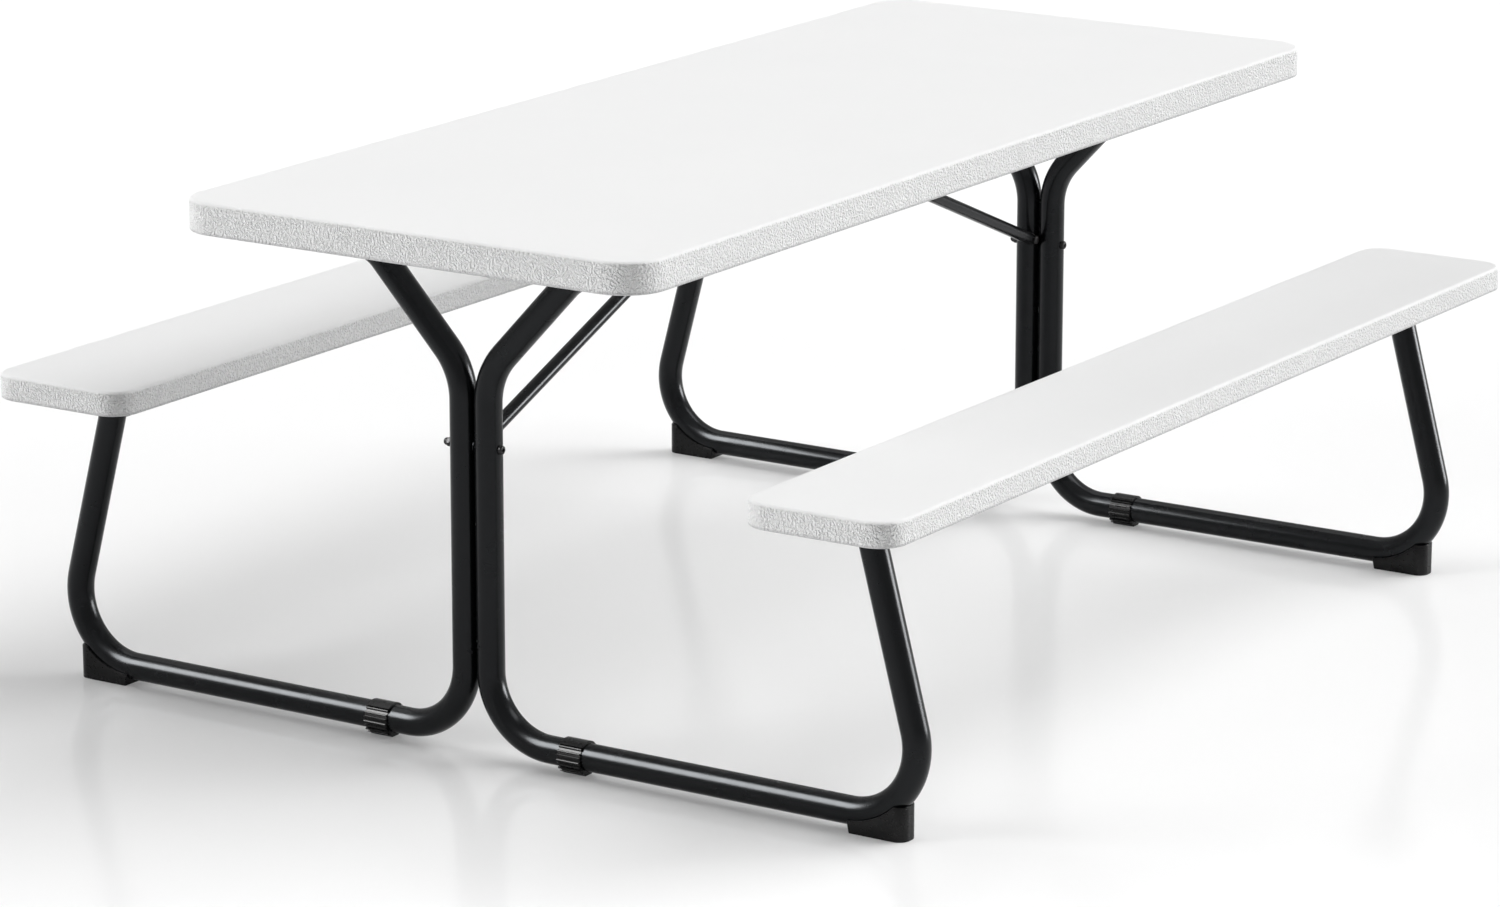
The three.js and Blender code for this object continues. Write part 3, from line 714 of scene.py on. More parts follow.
def tube_ring(place, direction, radius, shift=0.0):
    """A ring round a station of a path, moved along it by a shift."""
    centre = place + direction * shift
    across = Vector((-direction.y, direction.x))
    points = []
    for x, run in circle(radius, TUBE_SIDES):
        points.append((x, centre.x + across.x * run, centre.y + across.y * run))
    return points


leg_up = Vector((-math.tan(LEG_LEAN), 1)).normalized()
leg_top = Vector((LEG_PIVOT.y, LEG_PIVOT.z)) + leg_up * LEG_OVERRUN
leg_foot_y = LEG_PIVOT.y + math.tan(LEG_LEAN) * (LEG_PIVOT.z - BAR_Z)
arm_top_y = COLUMN_Y + math.tan(ARM_LEAN) * (HINGE_Z - CROTCH_Z)
stub_end_y = BLOCK_HIGH.y + STUB_OVERHANG
HALF_PATH = bent_path([
    (stub_end_y, HINGE_Z),
    (arm_top_y, HINGE_Z, STUB_BEND),
    (COLUMN_Y, CROTCH_Z, ARM_BEND),
    (COLUMN_Y, BAR_Z, COLUMN_BEND),
    (leg_foot_y, BAR_Z, OUTER_BEND),
    (leg_top.x, leg_top.y),
])


def half_tube():
    """Stub, arm, column, floor bar and leg in one bent tube, bored at both ends for its plugs."""
    mesh = bmesh.new()
    bore = TUBE_RADIUS - TUBE_WALL
    depth = PLUG_DEPTH + TUBE_LIP
    mouth = ((bore, depth), (bore, 0.0), (TUBE_RADIUS - TUBE_LIP, 0.0), (TUBE_RADIUS, TUBE_LIP))
    loops = [tube_ring(*HALF_PATH[0], radius, shift) for radius, shift in mouth]
    loops += [tube_ring(*station, TUBE_RADIUS) for station in HALF_PATH[1:-1]]
    loops += [tube_ring(*HALF_PATH[-1], radius, -shift) for radius, shift in reversed(mouth)]
    loft(mesh, loops)
    return mesh


def tube_plug(place, outward):
    """A capped plug in a tube end, pointing outward, with a shallow dish in its cap."""
    mesh = bmesh.new()
    stem = TUBE_RADIUS - TUBE_WALL - PLUG_GAP
    face = PLUG_GAP + PLUG_CAP
    profile = [(0.0, -PLUG_DEPTH), (stem - SOFT_EDGE, -PLUG_DEPTH), (stem, -PLUG_DEPTH + SOFT_EDGE)]
    profile += [(stem, PLUG_GAP), (TUBE_RADIUS, PLUG_GAP)]
    for rise, run in quarter(PLUG_ROUND, PLUG_STEPS):
        profile.append((TUBE_RADIUS - rise, face - PLUG_ROUND + run))
    dish = face - PLUG_DISH
    profile += [(TUBE_RADIUS * DISH_RIM_SHARE, face), (TUBE_RADIUS * DISH_FLOOR_SHARE, dish), (0.0, dish)]
    lathe(mesh, profile, TUBE_SIDES, Y_AXIS)
    tilt = math.atan2(outward.y, outward.x)
    spin = Matrix.Translation((0, place.x, place.y)) @ Matrix.Rotation(tilt, 4, X_AXIS)
    bmesh.ops.transform(mesh, matrix=spin, verts=mesh.verts)
    return mesh


# Floor pads and saddle feet

PAD_HALF_FLAT = 0.007
PAD_EDGE = 0.0007
RIB_PITCH = math.radians(16)
RIB_LOWEST = math.radians(-52)
RIB_COUNT = 7
RIB_HEIGHT = 0.0028
CROWN_STEPS = 8

# Shares of the pitch and of the height along one rib
RIB_SHAPE = ((-0.50, 0.0), (-0.24, 0.0), (-0.18, 0.84), (-0.09, 1.0), (0.09, 1.0), (0.18, 0.84), (0.24, 0.0))


def pad_outline():
    """Outline of a floor pad: a flat below, ribs on both flanks and a smooth crown."""
    high = PAD_HIGH.z
    middle = (high ** 2 - PAD_HALF_FLAT ** 2) / (2 * high)
    ring = high - middle
    places = []
    for index in range(RIB_COUNT):
        for offset, lift in RIB_SHAPE:
            places.append((RIB_LOWEST + (index + offset) * RIB_PITCH, ring - RIB_HEIGHT * (1 - lift)))
    crown = RIB_LOWEST + (RIB_COUNT - 0.5) * RIB_PITCH
    for share in shares(CROWN_STEPS):
        places.append((crown + (math.pi / 2 - crown) * share, ring))
    half = [(PAD_HALF_FLAT, 0.0)]
    half += [(radius * math.cos(angle), middle + radius * math.sin(angle)) for angle, radius in places]
    return half + [(-x, z) for x, z in reversed(half[:-1])]


def floor_pad():
    """A ribbed collar round the floor bar, standing on the floor."""
    mesh = bmesh.new()
    outline = pad_outline()
    low, high = PAD_LOW.y, PAD_HIGH.y
    rim = inset(outline, PAD_EDGE)
    layers = ((rim, low), (outline, low + PAD_EDGE), (outline, high - PAD_EDGE), (rim, high))
    loops = [[(x, y, max(z, 0.0)) for x, z in points] for points, y in layers]
    rings = loft(mesh, loops, closed=False)
    bore = circle(TUBE_RADIUS + SLIP, TUBE_SIDES, (0.0, BAR_Z))
    walls = [placed(Y_AXIS, bore, y) for y in (low, high)]
    liner = loft(mesh, walls, closed=False)
    for outer, inner in ((rings[0], liner[0]), (rings[-1], liner[-1])):
        edges = ring_edges(mesh, outer) + ring_edges(mesh, inner)
        bmesh.ops.triangle_fill(mesh, use_beauty=True, edges=edges, normal=(0, 1, 0))
    return mesh


FOOT_WRAP = 0.0085
FOOT_NOSE = 0.016
FOOT_EDGE = 0.0012
FOOT_LEAN = 0.0035
FOOT_STEPS = 26
NOSE_STEPS = 10
CHANNEL_STEPS = 12
EDGE_SHARE = 0.3
outer_bend_y = leg_foot_y - OUTER_BEND * math.tan((math.pi / 2 + LEG_LEAN) / 2)
outer_bend_z = BAR_Z + OUTER_BEND


def foot_section(y, half, lean=0.0):
    """The outline of a saddle foot at one place along the bar: base, sides and the channel for the tube."""
    reach = OUTER_BEND + FOOT_WRAP
    run = y - outer_bend_y
    top = min(outer_bend_z - math.sqrt(reach ** 2 - min(run, reach) ** 2), FOOT_HIGH.z)
    radial = math.hypot(run, outer_bend_z - top) - OUTER_BEND
    open_half = math.sqrt(max(TUBE_RADIUS ** 2 - radial ** 2, 0.0))
    lip = min(max(open_half, FOOT_EDGE), half - 2 * FOOT_EDGE)
    soft = FOOT_EDGE
    nick = soft * EDGE_SHARE
    right = [(half - soft, 0.0), (half - nick, nick), (half, soft)]
    right += [(half, top - soft), (half - nick, top - nick), (half - soft, top)]
    points = list(right)
    for share in shares(CHANNEL_STEPS):
        x = lip * math.cos(math.pi * share)
        reach_here = OUTER_BEND + math.sqrt(max(TUBE_RADIUS ** 2 - x ** 2, 0.0))
        z = outer_bend_z - math.sqrt(max(reach_here ** 2 - run ** 2, 0.0))
        points.append((x, min(max(z, soft), top)))
    points += [(-x, z) for x, z in reversed(right)]
    return [(x, y + lean * (1 - z / top), z) for x, z in points]


def saddle_foot():
    """A foot moulded round the outer bend, with a rounded outer end and a leaning inner one."""
    mesh = bmesh.new()
    half = FOOT_HIGH.x - FRAME_X
    inner, outer = FOOT_LOW.y, FOOT_HIGH.y
    nose = outer - FOOT_NOSE
    start = inner + FOOT_LEAN + FOOT_EDGE
    loops = [foot_section(inner, half - FOOT_EDGE, FOOT_LEAN)]
    loops.append(foot_section(inner + FOOT_EDGE, half, FOOT_LEAN))
    for share in shares(FOOT_STEPS):
        loops.append(foot_section(start + SLIP + (nose - start) * share, half))
    for angle in quarter_turn(NOSE_STEPS)[1:]:
        y = nose + FOOT_NOSE * math.sin(angle)
        loops.append(foot_section(min(y + SLIP, outer), half - FOOT_NOSE * (1 - math.cos(angle))))
    loft(mesh, loops)
    return mesh


# Hinge blocks, brackets and pins

def screw_head(mesh, x, y, z):
    """A hexagon screw head on a flange, pointing down, with a raised mark in its middle."""
    profile = [(SCREW_FLANGE * out, z - FLANGE_HEIGHT * down) for out, down in FLANGE_SHAPE]
    lathe(mesh, profile, PIN_SIDES, Z_AXIS, (x, y))
    low, high = z - SCREW_HEIGHT, z - FLANGE_HEIGHT + FLANGE_OVERLAP
    plate(mesh, circle(SCREW_HEX, HEX_SIDES, (x, y)), low, high, Z_AXIS, edge=SCREW_EDGE)
    mark = circle(MARK_RADIUS, HEX_SIDES, (x, y))
    plate(mesh, mark, low - MARK_RISE, low + SOFT_EDGE, Z_AXIS, edge=MARK_EDGE)


BLOCK_WALL = 0.0025
BLOCK_BASE = 0.004
BLOCK_FILLET = 0.005
BLOCK_TIP = 0.0015
BLOCK_RIB = 0.0035
BLOCK_STEPS = 14
GUSSET_ROOT = 0.002
GUSSET_DROP = 0.004
GUSSET_SINK = 0.001


def hinge_block():
    """A block that carries a hinge stub under the top, with two flanges and a gusset on each."""
    mesh = bmesh.new()
    outside = TUBE_RADIUS + BLOCK_WALL
    seat = BLOCK_HIGH.z - HINGE_Z
    reach = BLOCK_HALF.x
    base = seat - BLOCK_BASE
    outline = rounded_outline(mirrored([
        (-reach, seat, SOFT_EDGE),
        (-reach, base, BLOCK_TIP),
        (-outside, base, BLOCK_FILLET),
        (-outside, -outside, outside),
    ]), BLOCK_STEPS)
    bore = circle(TUBE_RADIUS + SLIP, TUBE_SIDES)
    plate(mesh, outline, BLOCK_LOW.y, BLOCK_HIGH.y, Y_AXIS, [bore])
    low = BLOCK_MIDDLE.y - BLOCK_RIB / 2
    root, tip, sunk = outside - GUSSET_ROOT, reach - GUSSET_DROP, base + GUSSET_SINK
    gusset = [(root, sunk), (root, GUSSET_DROP), (outside, GUSSET_DROP), (tip, base), (tip, sunk)]
    for side in (-1, 1):
        turned = [(side * x, z) for x, z in gusset]
        plate(mesh, turned, low, low + BLOCK_RIB, Y_AXIS, edge=SOFT_EDGE / 2)
    bmesh.ops.translate(mesh, verts=mesh.verts, vec=(0, 0, HINGE_Z))
    return mesh


BRACKET_PLATE = 0.003
BRACKET_NOSE = 0.0085
BRACKET_CORNER = 0.009
BRACKET_SIDE_GAP = 0.007
BRACKET_STEPS = 12
BRACKET_ROW = 0.013
CHEEK_INSET = 0.003
CHEEK_SINK = 0.001
CHEEK_DROP = 0.006
CHEEK_SPREAD = 0.002
CHEEK_CORNER = 0.004
BEAD_INSET = 0.006
BEAD_SINK = 0.0004
BENCH_PIN_RADIUS = 0.004
CHEEK_PLACE = TUBE_RADIUS / math.cos(LEG_LEAN) + BRACKET_SIDE_GAP


def bench_bracket():
    """A welded bracket: a base plate under the seat and a rounded cheek on each side of the leg."""
    mesh = bmesh.new()
    seat = BRACKET_HIGH.z - LEG_PIVOT.z
    under = seat - BRACKET_PLATE
    half, width = BRACKET_HALF.x, BRACKET_HALF.y
    base = rounded_outline(mirrored([(-half, width, BRACKET_CORNER), (-half, -width, BRACKET_CORNER)]))
    plate(mesh, base, under, seat, Z_AXIS)
    shoulder = half - CHEEK_INSET
    cheek = rounded_outline(mirrored([
        (-shoulder, under + CHEEK_SINK, 0.0),
        (-shoulder, under - CHEEK_DROP, CHEEK_CORNER),
        (-BRACKET_NOSE - CHEEK_SPREAD, -BRACKET_NOSE, BRACKET_NOSE),
    ]), BRACKET_STEPS)
    eye = circle(BENCH_PIN_RADIUS + SLIP, PIN_SIDES)
    sunk, toe = under + BEAD_SINK, under - BRACKET_PLATE
    for low in (CHEEK_PLACE, -CHEEK_PLACE - BRACKET_PLATE):
        high = low + BRACKET_PLATE
        plate(mesh, cheek, low, high, Y_AXIS, [eye])
        bead = [(low - BRACKET_PLATE, sunk), (high + BRACKET_PLATE, sunk), (high, toe), (low, toe)]
        plate(mesh, bead, -half + BEAD_INSET, half - BEAD_INSET, X_AXIS, edge=BEAD_SINK)
    return mesh


PIN_HEAD = 0.0035
PIN_HEAD_HEIGHT = 0.003
PIN_DOME = 0.0022
DOME_STEPS = 5


def headed_pin(radius, low, high):
    """A pin along Y with a domed head at each end, from low to high over the heads."""
    mesh = bmesh.new()
    head = radius + PIN_HEAD
    first, last = low + PIN_HEAD_HEIGHT, high - PIN_HEAD_HEIGHT
    dome = [(head - rise, PIN_HEAD_HEIGHT - PIN_DOME + run) for rise, run in quarter(PIN_DOME, DOME_STEPS)]
    dome.append((0.0, PIN_HEAD_HEIGHT))
    profile = [(reach, first - out) for reach, out in reversed(dome)]
    profile += [(head, first), (radius, first), (radius, last), (head, last)]
    profile += [(reach, last + out) for reach, out in dome]
    lathe(mesh, profile, PIN_SIDES, Y_AXIS)
    return mesh


# Column bolt, cap nut, lug, braces and guide

BOLT_DOME = 0.003
BOLT_STEPS = 6
SOCKET_DEPTH = 0.003
SOCKET_SHARE = 0.5
BOLT_SIDES = 36
NUT_HEX_SHARE = 0.5
NUT_DOME_SHARE = 0.82
NUT_COLLAR = 0.0015
NUT_STEPS = 6


def hexagon_points(radius, count):
    """Points spread evenly round a hexagon, to match a circle with the same count."""
    points = []
    per_side = count // HEX_SIDES
    corners = [Vector(corner) for corner in circle(radius, HEX_SIDES)]
    for index, start in enumerate(corners):
        end = corners[(index + 1) % HEX_SIDES]
        points += [start.lerp(end, step / per_side) for step in range(per_side)]
    return points


def column_bolt():
    """A bolt through both columns: a domed socket head on the right, a shank into the cap nut on the left."""
    mesh = bmesh.new()
    head = (BOLT_HIGH.x - BOLT_LOW.x) / 2
    seat = -(COLUMN_Y + TUBE_RADIUS)
    end = BOLT_LOW.y
    rows = [(BOLT_RADIUS, BOLT_HIGH.y), (BOLT_RADIUS, seat), (head, seat)]
    rows += [(head - rise, end + BOLT_DOME - run) for rise, run in quarter(BOLT_DOME, BOLT_STEPS)]
    loops = [placed(Y_AXIS, circle(radius, BOLT_SIDES), y) for radius, y in rows]
    socket = hexagon_points(head * SOCKET_SHARE, BOLT_SIDES)
    loops += [placed(Y_AXIS, socket, y) for y in (end, end + SOCKET_DEPTH)]
    loft(mesh, loops)
    return mesh


def cap_nut():
    """A hexagon nut with a domed cap."""
    mesh = bmesh.new()
    radius = (NUT_HIGH.x - NUT_LOW.x) / 2
    seat, end = NUT_LOW.y, NUT_HIGH.y
    hex_end = seat + (end - seat) * NUT_HEX_SHARE
    plate(mesh, circle(radius, HEX_SIDES), seat, hex_end, Y_AXIS)
    dome = radius * NUT_DOME_SHARE
    collar = hex_end + NUT_COLLAR
    profile = [(dome, hex_end - SOFT_EDGE), (dome, collar)]
    for angle in quarter_turn(NUT_STEPS)[1:-1]:
        profile.append((dome * math.cos(angle), collar + (end - collar) * math.sin(angle)))
    profile.append((0.0, end))
    lathe(mesh, profile, PIN_SIDES, Y_AXIS)
    return mesh


LUG_BOLT_EYE = 0.009
LUG_PIVOT_EYE = 0.0075
LUG_STEPS = 12
LUG_EDGE = 0.0003
BRACE_PIN_RADIUS = 0.003
BOLT_Z = (BOLT_LOW.z + BOLT_HIGH.z) / 2
LUG_RISE = BRACE_PIVOT.z - BOLT_Z
LUG_REACH = BRACE_PIVOT.x + FRAME_X


def brace_lug():
    """A flat link between the columns, from the bolt to the brace pivot, with a round eye at each end."""
    mesh = bmesh.new()
    tilt = math.atan2(LUG_RISE, LUG_REACH)
    spread = math.acos((LUG_BOLT_EYE - LUG_PIVOT_EYE) / math.hypot(LUG_RISE, LUG_REACH))
    bolt, pivot = (0.0, 0.0), (LUG_REACH, LUG_RISE)
    outline = arc(LUG_PIVOT_EYE, pivot, tilt - spread, 2 * spread, LUG_STEPS)
    outline += arc(LUG_BOLT_EYE, bolt, tilt + spread, 2 * (math.pi - spread), LUG_STEPS)
    holes = [circle(BOLT_RADIUS + SLIP, PIN_SIDES, bolt), circle(BRACE_PIN_RADIUS + SLIP, PIN_SIDES, pivot)]
    plate(mesh, outline, LUG_LOW.y, LUG_HIGH.y, Y_AXIS, holes, LUG_EDGE)
    bmesh.ops.translate(mesh, verts=mesh.verts, vec=(0, 0, BOLT_Z))
    return mesh


BRACE_SPAN = (GUIDE_PIN_LOW + GUIDE_PIN_HIGH) / 2 - BRACE_PIVOT
BRACE_LENGTH = math.hypot(BRACE_SPAN.x, BRACE_SPAN.z)
BRACE_ANGLE = math.atan2(BRACE_SPAN.z, BRACE_SPAN.x)
BRACE_TIP_STEPS = 8
BRACE_TIP_SHARE = 0.05
SLOT_REACH = 0.02


def brace_rod():
    """A round rod along X from its pivot, rounded off over both of its pins."""
    mesh = bmesh.new()

    def section(x, limit):
        points = []
        for y, z in circle(BRACE_RADIUS, ROUND_SIDES):
            points.append((x, y, max(-limit, min(limit, z))))
        return points

    tips = []
    for angle in quarter_turn(BRACE_TIP_STEPS):
        tips.append((BRACE_RADIUS * math.sin(angle), BRACE_RADIUS * max(math.cos(angle), BRACE_TIP_SHARE)))
    past_slot = BRACE_SLOT_DEPTH * 2
    loops = [section(-out, limit) for out, limit in reversed(tips)]
    loops.append(section(past_slot, BRACE_RADIUS))
    loops += [section(BRACE_LENGTH + out, limit) for out, limit in tips]
    loft(mesh, loops)
    return mesh


def slot_tool():
    """The slot in the lower end of a brace that straddles its lug."""
    mesh = bmesh.new()
    half = BRACE_SLOT / 2
    outline = [(-SLOT_REACH, -half), (BRACE_SLOT_DEPTH, -half), (BRACE_SLOT_DEPTH, half), (-SLOT_REACH, half)]
    plate(mesh, outline, -SLOT_REACH, SLOT_REACH, Z_AXIS, edge=SLIP)
    return mesh


GUIDE_WALL = 0.0025
GUIDE_CORNER = 0.0035
EAR_LENGTH = 0.022
EAR_REACH = 0.017
EAR_INSET = 0.030
EAR_CORNER = 0.007
EAR_SINK = 0.001


def ear_places():
    low, high = GUIDE_LOW.x + EAR_INSET, GUIDE_HIGH.x - EAR_INSET
    return (low, (low + high) / 2, high)


def brace_guide():
    """A channel of bent sheet under the top, open below, with ears for its screws."""
    mesh = bmesh.new()
    outside = GUIDE_HALF.y
    inside = outside - GUIDE_WALL
    low, roof = GUIDE_LOW.z, GUIDE_HIGH.z
    outline = rounded_outline(mirrored([
        (-outside, roof, GUIDE_CORNER),
        (-outside, low, SOFT_EDGE),
        (-inside, low, SOFT_EDGE),
        (-inside, roof - GUIDE_WALL, GUIDE_CORNER - GUIDE_WALL),
    ]))
    plate(mesh, outline, GUIDE_LOW.x, GUIDE_HIGH.x, X_AXIS, edge=SOFT_EDGE / 2)
    for x in ear_places():
        first, last = x - EAR_LENGTH / 2, x + EAR_LENGTH / 2
        for side in (-1, 1):
            root, tip = side * (outside - EAR_SINK), side * (outside + EAR_REACH)
            ear = [(first, root, 0.0), (last, root, 0.0), (last, tip, EAR_CORNER), (first, tip, EAR_CORNER)]
            plate(mesh, rounded_outline(ear), roof - GUIDE_WALL, roof, Z_AXIS)
    return mesh


PIN_ROUND_SHARE = 0.2


def plain_pin(radius, low, high):
    """A plain pin along Y with rounded ends."""
    mesh = bmesh.new()
    soft = radius * PIN_ROUND_SHARE
    tip = [(radius - rise, run) for rise, run in quarter(soft)]
    profile = [(0.0, low)] + [(reach, low + soft - out) for reach, out in reversed(tip)]
    profile += [(reach, high - soft + out) for reach, out in tip] + [(0.0, high)]
    lathe(mesh, profile, PIN_SIDES, Y_AXIS)
    return mesh


# The assembly

top_screws = bmesh.new()
seat_screws = {side: bmesh.new() for side, _ in SIDES}
guide_side = GUIDE_HALF.y + EAR_REACH / 2
for x in ear_places():
    for across in (-1, 1):
        screw_head(top_screws, x, across * guide_side, GUIDE_HIGH.z - GUIDE_WALL)
install(piece("brace_guide_channel", brace_guide()), "top", "frame_paint", "brace_guide")

block_side = BLOCK_HALF.x - SCREW_OUTSET
block_row = BLOCK_HALF.y - SCREW_OUTSET
bracket_side = BRACKET_HALF.y - SCREW_OUTSET
bracket_row = BRACKET_HALF.x - BRACKET_ROW
leg_grip = (PIN_HIGH.y - PIN_LOW.y) / 2


def place_all(tag, rows):
    """Makes and installs pieces given as (name, mesh, place, body, slot, node)."""
    for name, mesh, place, body, slot, node in rows:
        install(piece(f"{tag}_{name}", mesh, place), body, slot, f"{tag}_{node}")


def place_half(end, side, move):
    """One side of an end frame, with its fittings under the top and under the bench."""
    body, bench = f"{end}_frame", f"{side}_bench"
    pivot = move @ Matrix.Translation((0, LEG_PIVOT.y, LEG_PIVOT.z))
    stub_plug = tube_plug(Vector((stub_end_y, HINGE_Z)), Vector((1, 0)))
    leg_plug = tube_plug(leg_top, leg_up)
    leg_pin = headed_pin(BENCH_PIN_RADIUS, -leg_grip, leg_grip)
    place_all(f"{end}_{side}", (
        ("bent_tube", half_tube(), move, body, "frame_paint", "frame_tube"),
        ("stub_cap", stub_plug, move, body, "black_plastic", "stub_plug"),
        ("leg_cap", leg_plug, move, body, "black_plastic", "leg_plug"),
        ("ribbed_pad", floor_pad(), move, body, "black_plastic", "floor_pad"),
        ("saddle_foot", saddle_foot(), move, body, "black_plastic", "foot"),
        ("hinge_seat", hinge_block(), move, "top", "black_plastic", "hinge_block"),
        ("leg_bracket", bench_bracket(), pivot, bench, "frame_paint", "bench_bracket"),
        ("leg_pin", leg_pin, pivot, bench, "black_steel", "bench_pin"),
    ))
    for along in (-1, 1):
        for across in (-1, 1):
            place = move @ Vector((along * block_side, BLOCK_MIDDLE.y + across * block_row, 0))
            screw_head(top_screws, place.x, place.y, BLOCK_HIGH.z - BLOCK_BASE)
            place = pivot @ Vector((along * bracket_row, across * bracket_side, 0))
            screw_head(seat_screws[side], place.x, place.y, BRACKET_HIGH.z - BRACKET_PLATE)


def place_middle(end, at_frame, inboard):
    """The bolt, nut and lug of an end frame, and its brace."""
    body, brace = f"{end}_frame", f"{end}_brace"
    at_bolt = at_frame @ Matrix.Translation((0, 0, BOLT_Z))
    tilt = Matrix.Rotation(-BRACE_ANGLE, 4, Y_AXIS)
    at_brace = inboard @ Matrix.Translation((LUG_REACH, 0, BRACE_PIVOT.z)) @ tilt
    at_tip = at_brace @ Matrix.Translation((BRACE_LENGTH, 0, 0))
    place_all(end, (
        ("socket_bolt", column_bolt(), at_bolt, body, "black_steel", "column_bolt"),
        ("domed_nut", cap_nut(), at_bolt, body, "black_steel", "cap_nut"),
        ("lug_plate", brace_lug(), inboard, body, "frame_paint", "brace_lug"),
    ))
    rod = piece(f"{end}_round_brace", brace_rod(), at_brace)
    carve(rod, piece(f"{end}_slot", slot_tool(), at_brace))
    install(rod, brace, "frame_paint", f"{end}_brace_rod")
    rivet = headed_pin(BRACE_PIN_RADIUS, BRACE_PIN_LOW.y, BRACE_PIN_HIGH.y)
    stud = plain_pin((GUIDE_PIN_HIGH.z - GUIDE_PIN_LOW.z) / 2, GUIDE_PIN_LOW.y, GUIDE_PIN_HIGH.y)
    place_all(end, (
        ("brace_rivet", rivet, at_brace, brace, "black_steel", "brace_pin"),
        ("guide_stud", stud, at_tip, brace, "black_steel", "guide_pin"),
    ))


half_turn = Matrix.Rotation(math.pi, 4, Z_AXIS)
for end, sign in ENDS:
    at_frame = Matrix.Translation((sign * FRAME_X, 0, 0))
    for side, hand in SIDES:
        place_half(end, side, at_frame if hand > 0 else at_frame @ half_turn)
    place_middle(end, at_frame, at_frame if sign < 0 else at_frame @ half_turn)
install(piece("top_screws", top_screws), "top", "black_steel")
for side, _ in SIDES:
    install(piece(f"{side}_bench_screws", seat_screws[side]), f"{side}_bench", "black_steel")


# Floor, light and camera

FLOOR_HALF = 40.0
FLOOR_DEPTH = 0.02
FLOOR_LOW = (0.93, 0.93, 0.93)
FLOOR_HIGH = (0.95, 0.95, 0.95)
WHITE_LIGHT = (1.0, 1.0, 1.0, 1.0)
NEAR_LIFT = 0.085
FAR_LIFT = 0.26
LIFT_START = 1.2
LIFT_END = 4.0
WORLD_DIFFUSE = 0.015
WORLD_GLOSSY = 0.42


def seen_directly(tree, names):
    """One where any of the named kinds of ray looks, else nothing."""
    rays = tree.nodes.new("ShaderNodeLightPath")
    seen = rays.outputs[names[0]]
    for name in names[1:]:
        either = tree.nodes.new("ShaderNodeMath")
        either.operation = "MAXIMUM"
        tree.links.new(seen, either.inputs[0])
        tree.links.new(rays.outputs[name], either.inputs[1])
        seen = either.outputs["Value"]
    return seen


def floor():
    """A pale, slightly polished floor that fades to white for the camera, away from the object."""
    mesh = bmesh.new()
    corners = ((-1, -1), (1, -1), (1, 1), (-1, 1))
    loft(mesh, [[(x * FLOOR_HALF, y * FLOOR_HALF, z) for x, y in corners] for z in (-FLOOR_DEPTH, 0.0)])
    made = piece("studio_floor", mesh)
    shader = Shader("studio_floor")
    feed(shader.surface, Specular_IOR_Level=0.30, Emission_Color=WHITE_LIGHT)
    colour = shader.clouded(FLOOR_LOW, FLOOR_HIGH, scale=0.8)
    roughness = shader.span(shader.noise(scale=2.0), low=0.12, high=0.15)
    normal = shader.bump(shader.noise(scale=30.0), distance=0.00001)
    away = shader.node("ShaderNodeVectorMath", operation="LENGTH")
    shader.link(shader.place, away.inputs[0])
    lift = shader.span(away.outputs["Value"], NEAR_LIFT, FAR_LIFT, LIFT_START, LIFT_END)
    seen = seen_directly(shader.tree, ("Is Camera Ray",))
    shader.link(shader.math("MULTIPLY", lift, seen), shader.surface.inputs["Emission Strength"])
    made.data.materials.append(shader.finish(colour, roughness, normal))


def studio_world():
    """A faint even light, and a brighter surround where it is looked at or reflected."""
    world = bpy.data.worlds.new("studio")
    bpy.context.scene.world = world
    world.use_nodes = True
    tree = world.node_tree
    background = tree.nodes["Background"]
    feed(background, Color=WHITE_LIGHT)
    level = tree.nodes.new("ShaderNodeMapRange")
    feed(level, To_Min=WORLD_DIFFUSE, To_Max=WORLD_GLOSSY)
    seen = seen_directly(tree, ("Is Camera Ray", "Is Glossy Ray", "Is Transmission Ray"))
    tree.links.new(seen, level.inputs["Value"])
    tree.links.new(level.outputs["Result"], background.inputs["Strength"])


def black_pieces():
    """The pieces that aren't white plastic, gathered for the lamps that only add sheen to them."""
    group = bpy.data.collections.new("black_pieces")
    black = set(MATERIALS.values()) - {MATERIALS["white_plastic"]}
    for made in bpy.context.scene.objects:
        if made.type == "MESH" and black.intersection(made.data.materials):
            group.objects.link(made)
    return group


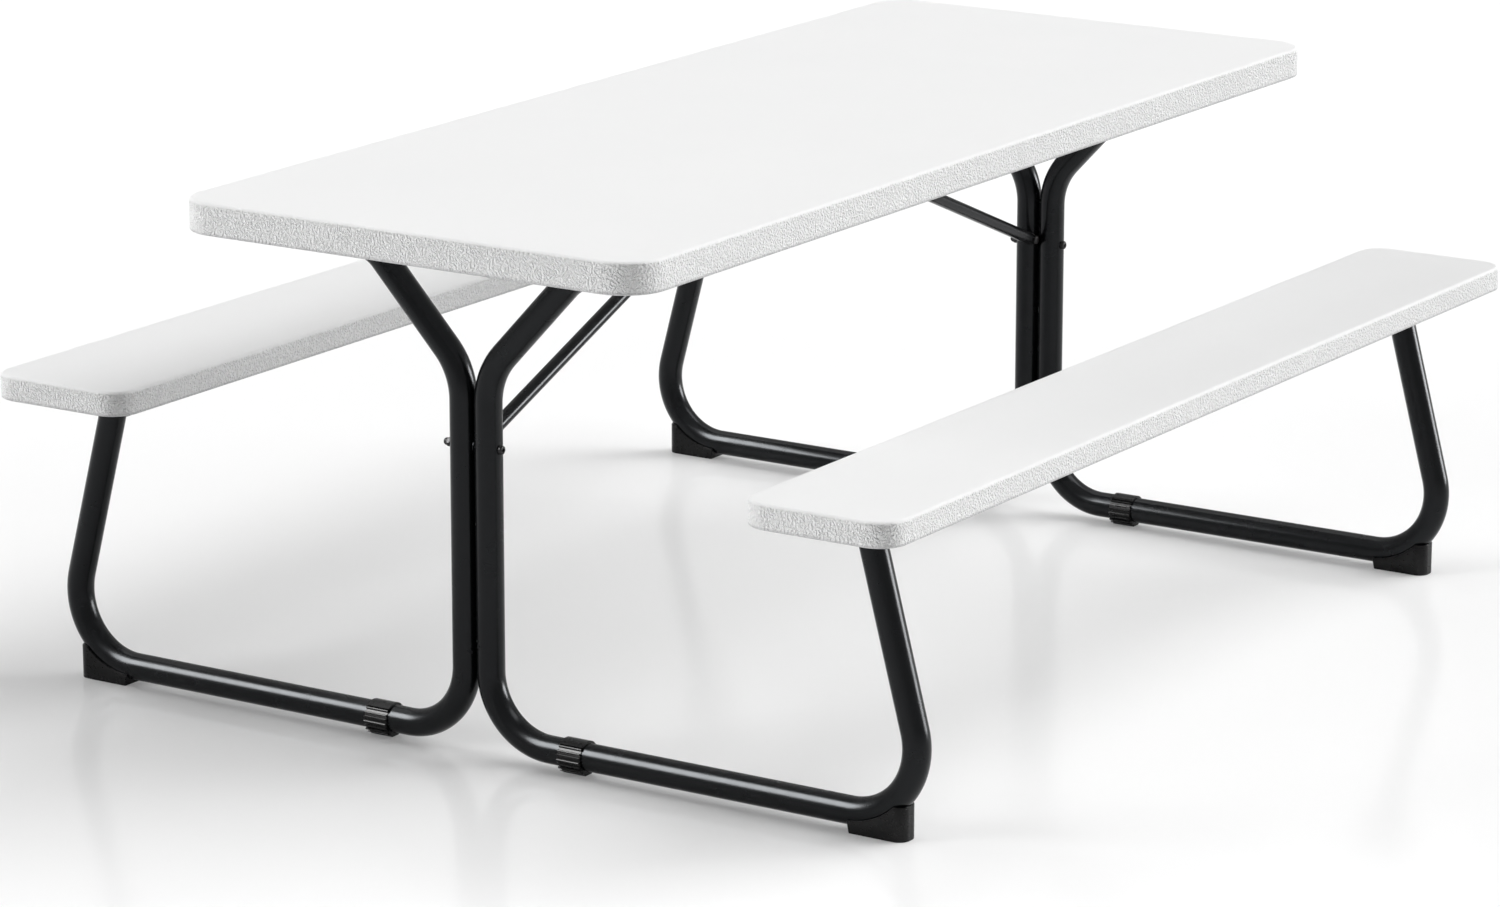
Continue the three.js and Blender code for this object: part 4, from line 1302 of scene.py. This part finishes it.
def lamp(name, heading, height, strength, spread, shines=True):
    """A soft distant lamp at a heading and a height in degrees, that can leave out its sheen."""
    data = bpy.data.lights.new(name, "SUN")
    data.energy = strength
    data.angle = math.radians(spread)
    made = bpy.data.objects.new(name, data)
    tilt = math.radians(90 - height)
    made.rotation_euler = (0.0, tilt, math.radians(heading))
    made.visible_glossy = shines
    bpy.context.scene.collection.objects.link(made)
    return made


def sheen_lamp(name, heading, height, strength, spread, group):
    """A lamp that only puts a streak of sheen on the pieces of a group."""
    made = lamp(name, heading, height, strength, spread)
    made.visible_diffuse = False
    made.light_linking.receiver_collection = group


floor()
studio_world()
lamp("high_right", heading=305, height=60, strength=1.18, spread=40)
lamp("mid_back", heading=335, height=35, strength=0.95, spread=40, shines=False)
lamp("low_right", heading=315, height=27, strength=0.64, spread=40, shines=False)
lamp("high_left", heading=60, height=72, strength=0.58, spread=50)
lamp("front_left", heading=132, height=5, strength=3.65, spread=36, shines=False)
lamp("left", heading=90, height=30, strength=0.6, spread=36, shines=False)
lamp("under_right", heading=310, height=6, strength=1.95, spread=30, shines=False)
sheen_group = black_pieces()
sheen_lamp("bar_strip", heading=138, height=42, strength=6.0, spread=34, group=sheen_group)
sheen_lamp("low_strip", heading=313, height=6, strength=2.6, spread=24, group=sheen_group)

CAMERA_PLACE = (-6.6443, -4.2405, 2.3095)
CAMERA_YAW = 0.5734
CAMERA_PITCH = -0.25518
CAMERA_ROLL = 0.00083
FOCAL_PIXELS = 5647.6
IMAGE_WIDTH = 1500
SENSOR = 36.0
FAR_CLIP = 200.0


def camera():
    data = bpy.data.cameras.new("photo_camera")
    data.sensor_fit = "HORIZONTAL"
    data.sensor_width = SENSOR
    data.lens = FOCAL_PIXELS / IMAGE_WIDTH * SENSOR
    data.clip_end = FAR_CLIP
    made = bpy.data.objects.new("photo_camera", data)
    yaw = Matrix.Rotation(CAMERA_YAW - math.pi / 2, 4, Z_AXIS)
    pitch = Matrix.Rotation(CAMERA_PITCH + math.pi / 2, 4, X_AXIS)
    roll = Matrix.Rotation(CAMERA_ROLL, 4, Z_AXIS)
    made.matrix_world = Matrix.Translation(CAMERA_PLACE) @ yaw @ pitch @ roll
    bpy.context.scene.collection.objects.link(made)
    bpy.context.scene.camera = made


camera()
bpy.context.scene.view_settings.view_transform = "Standard"
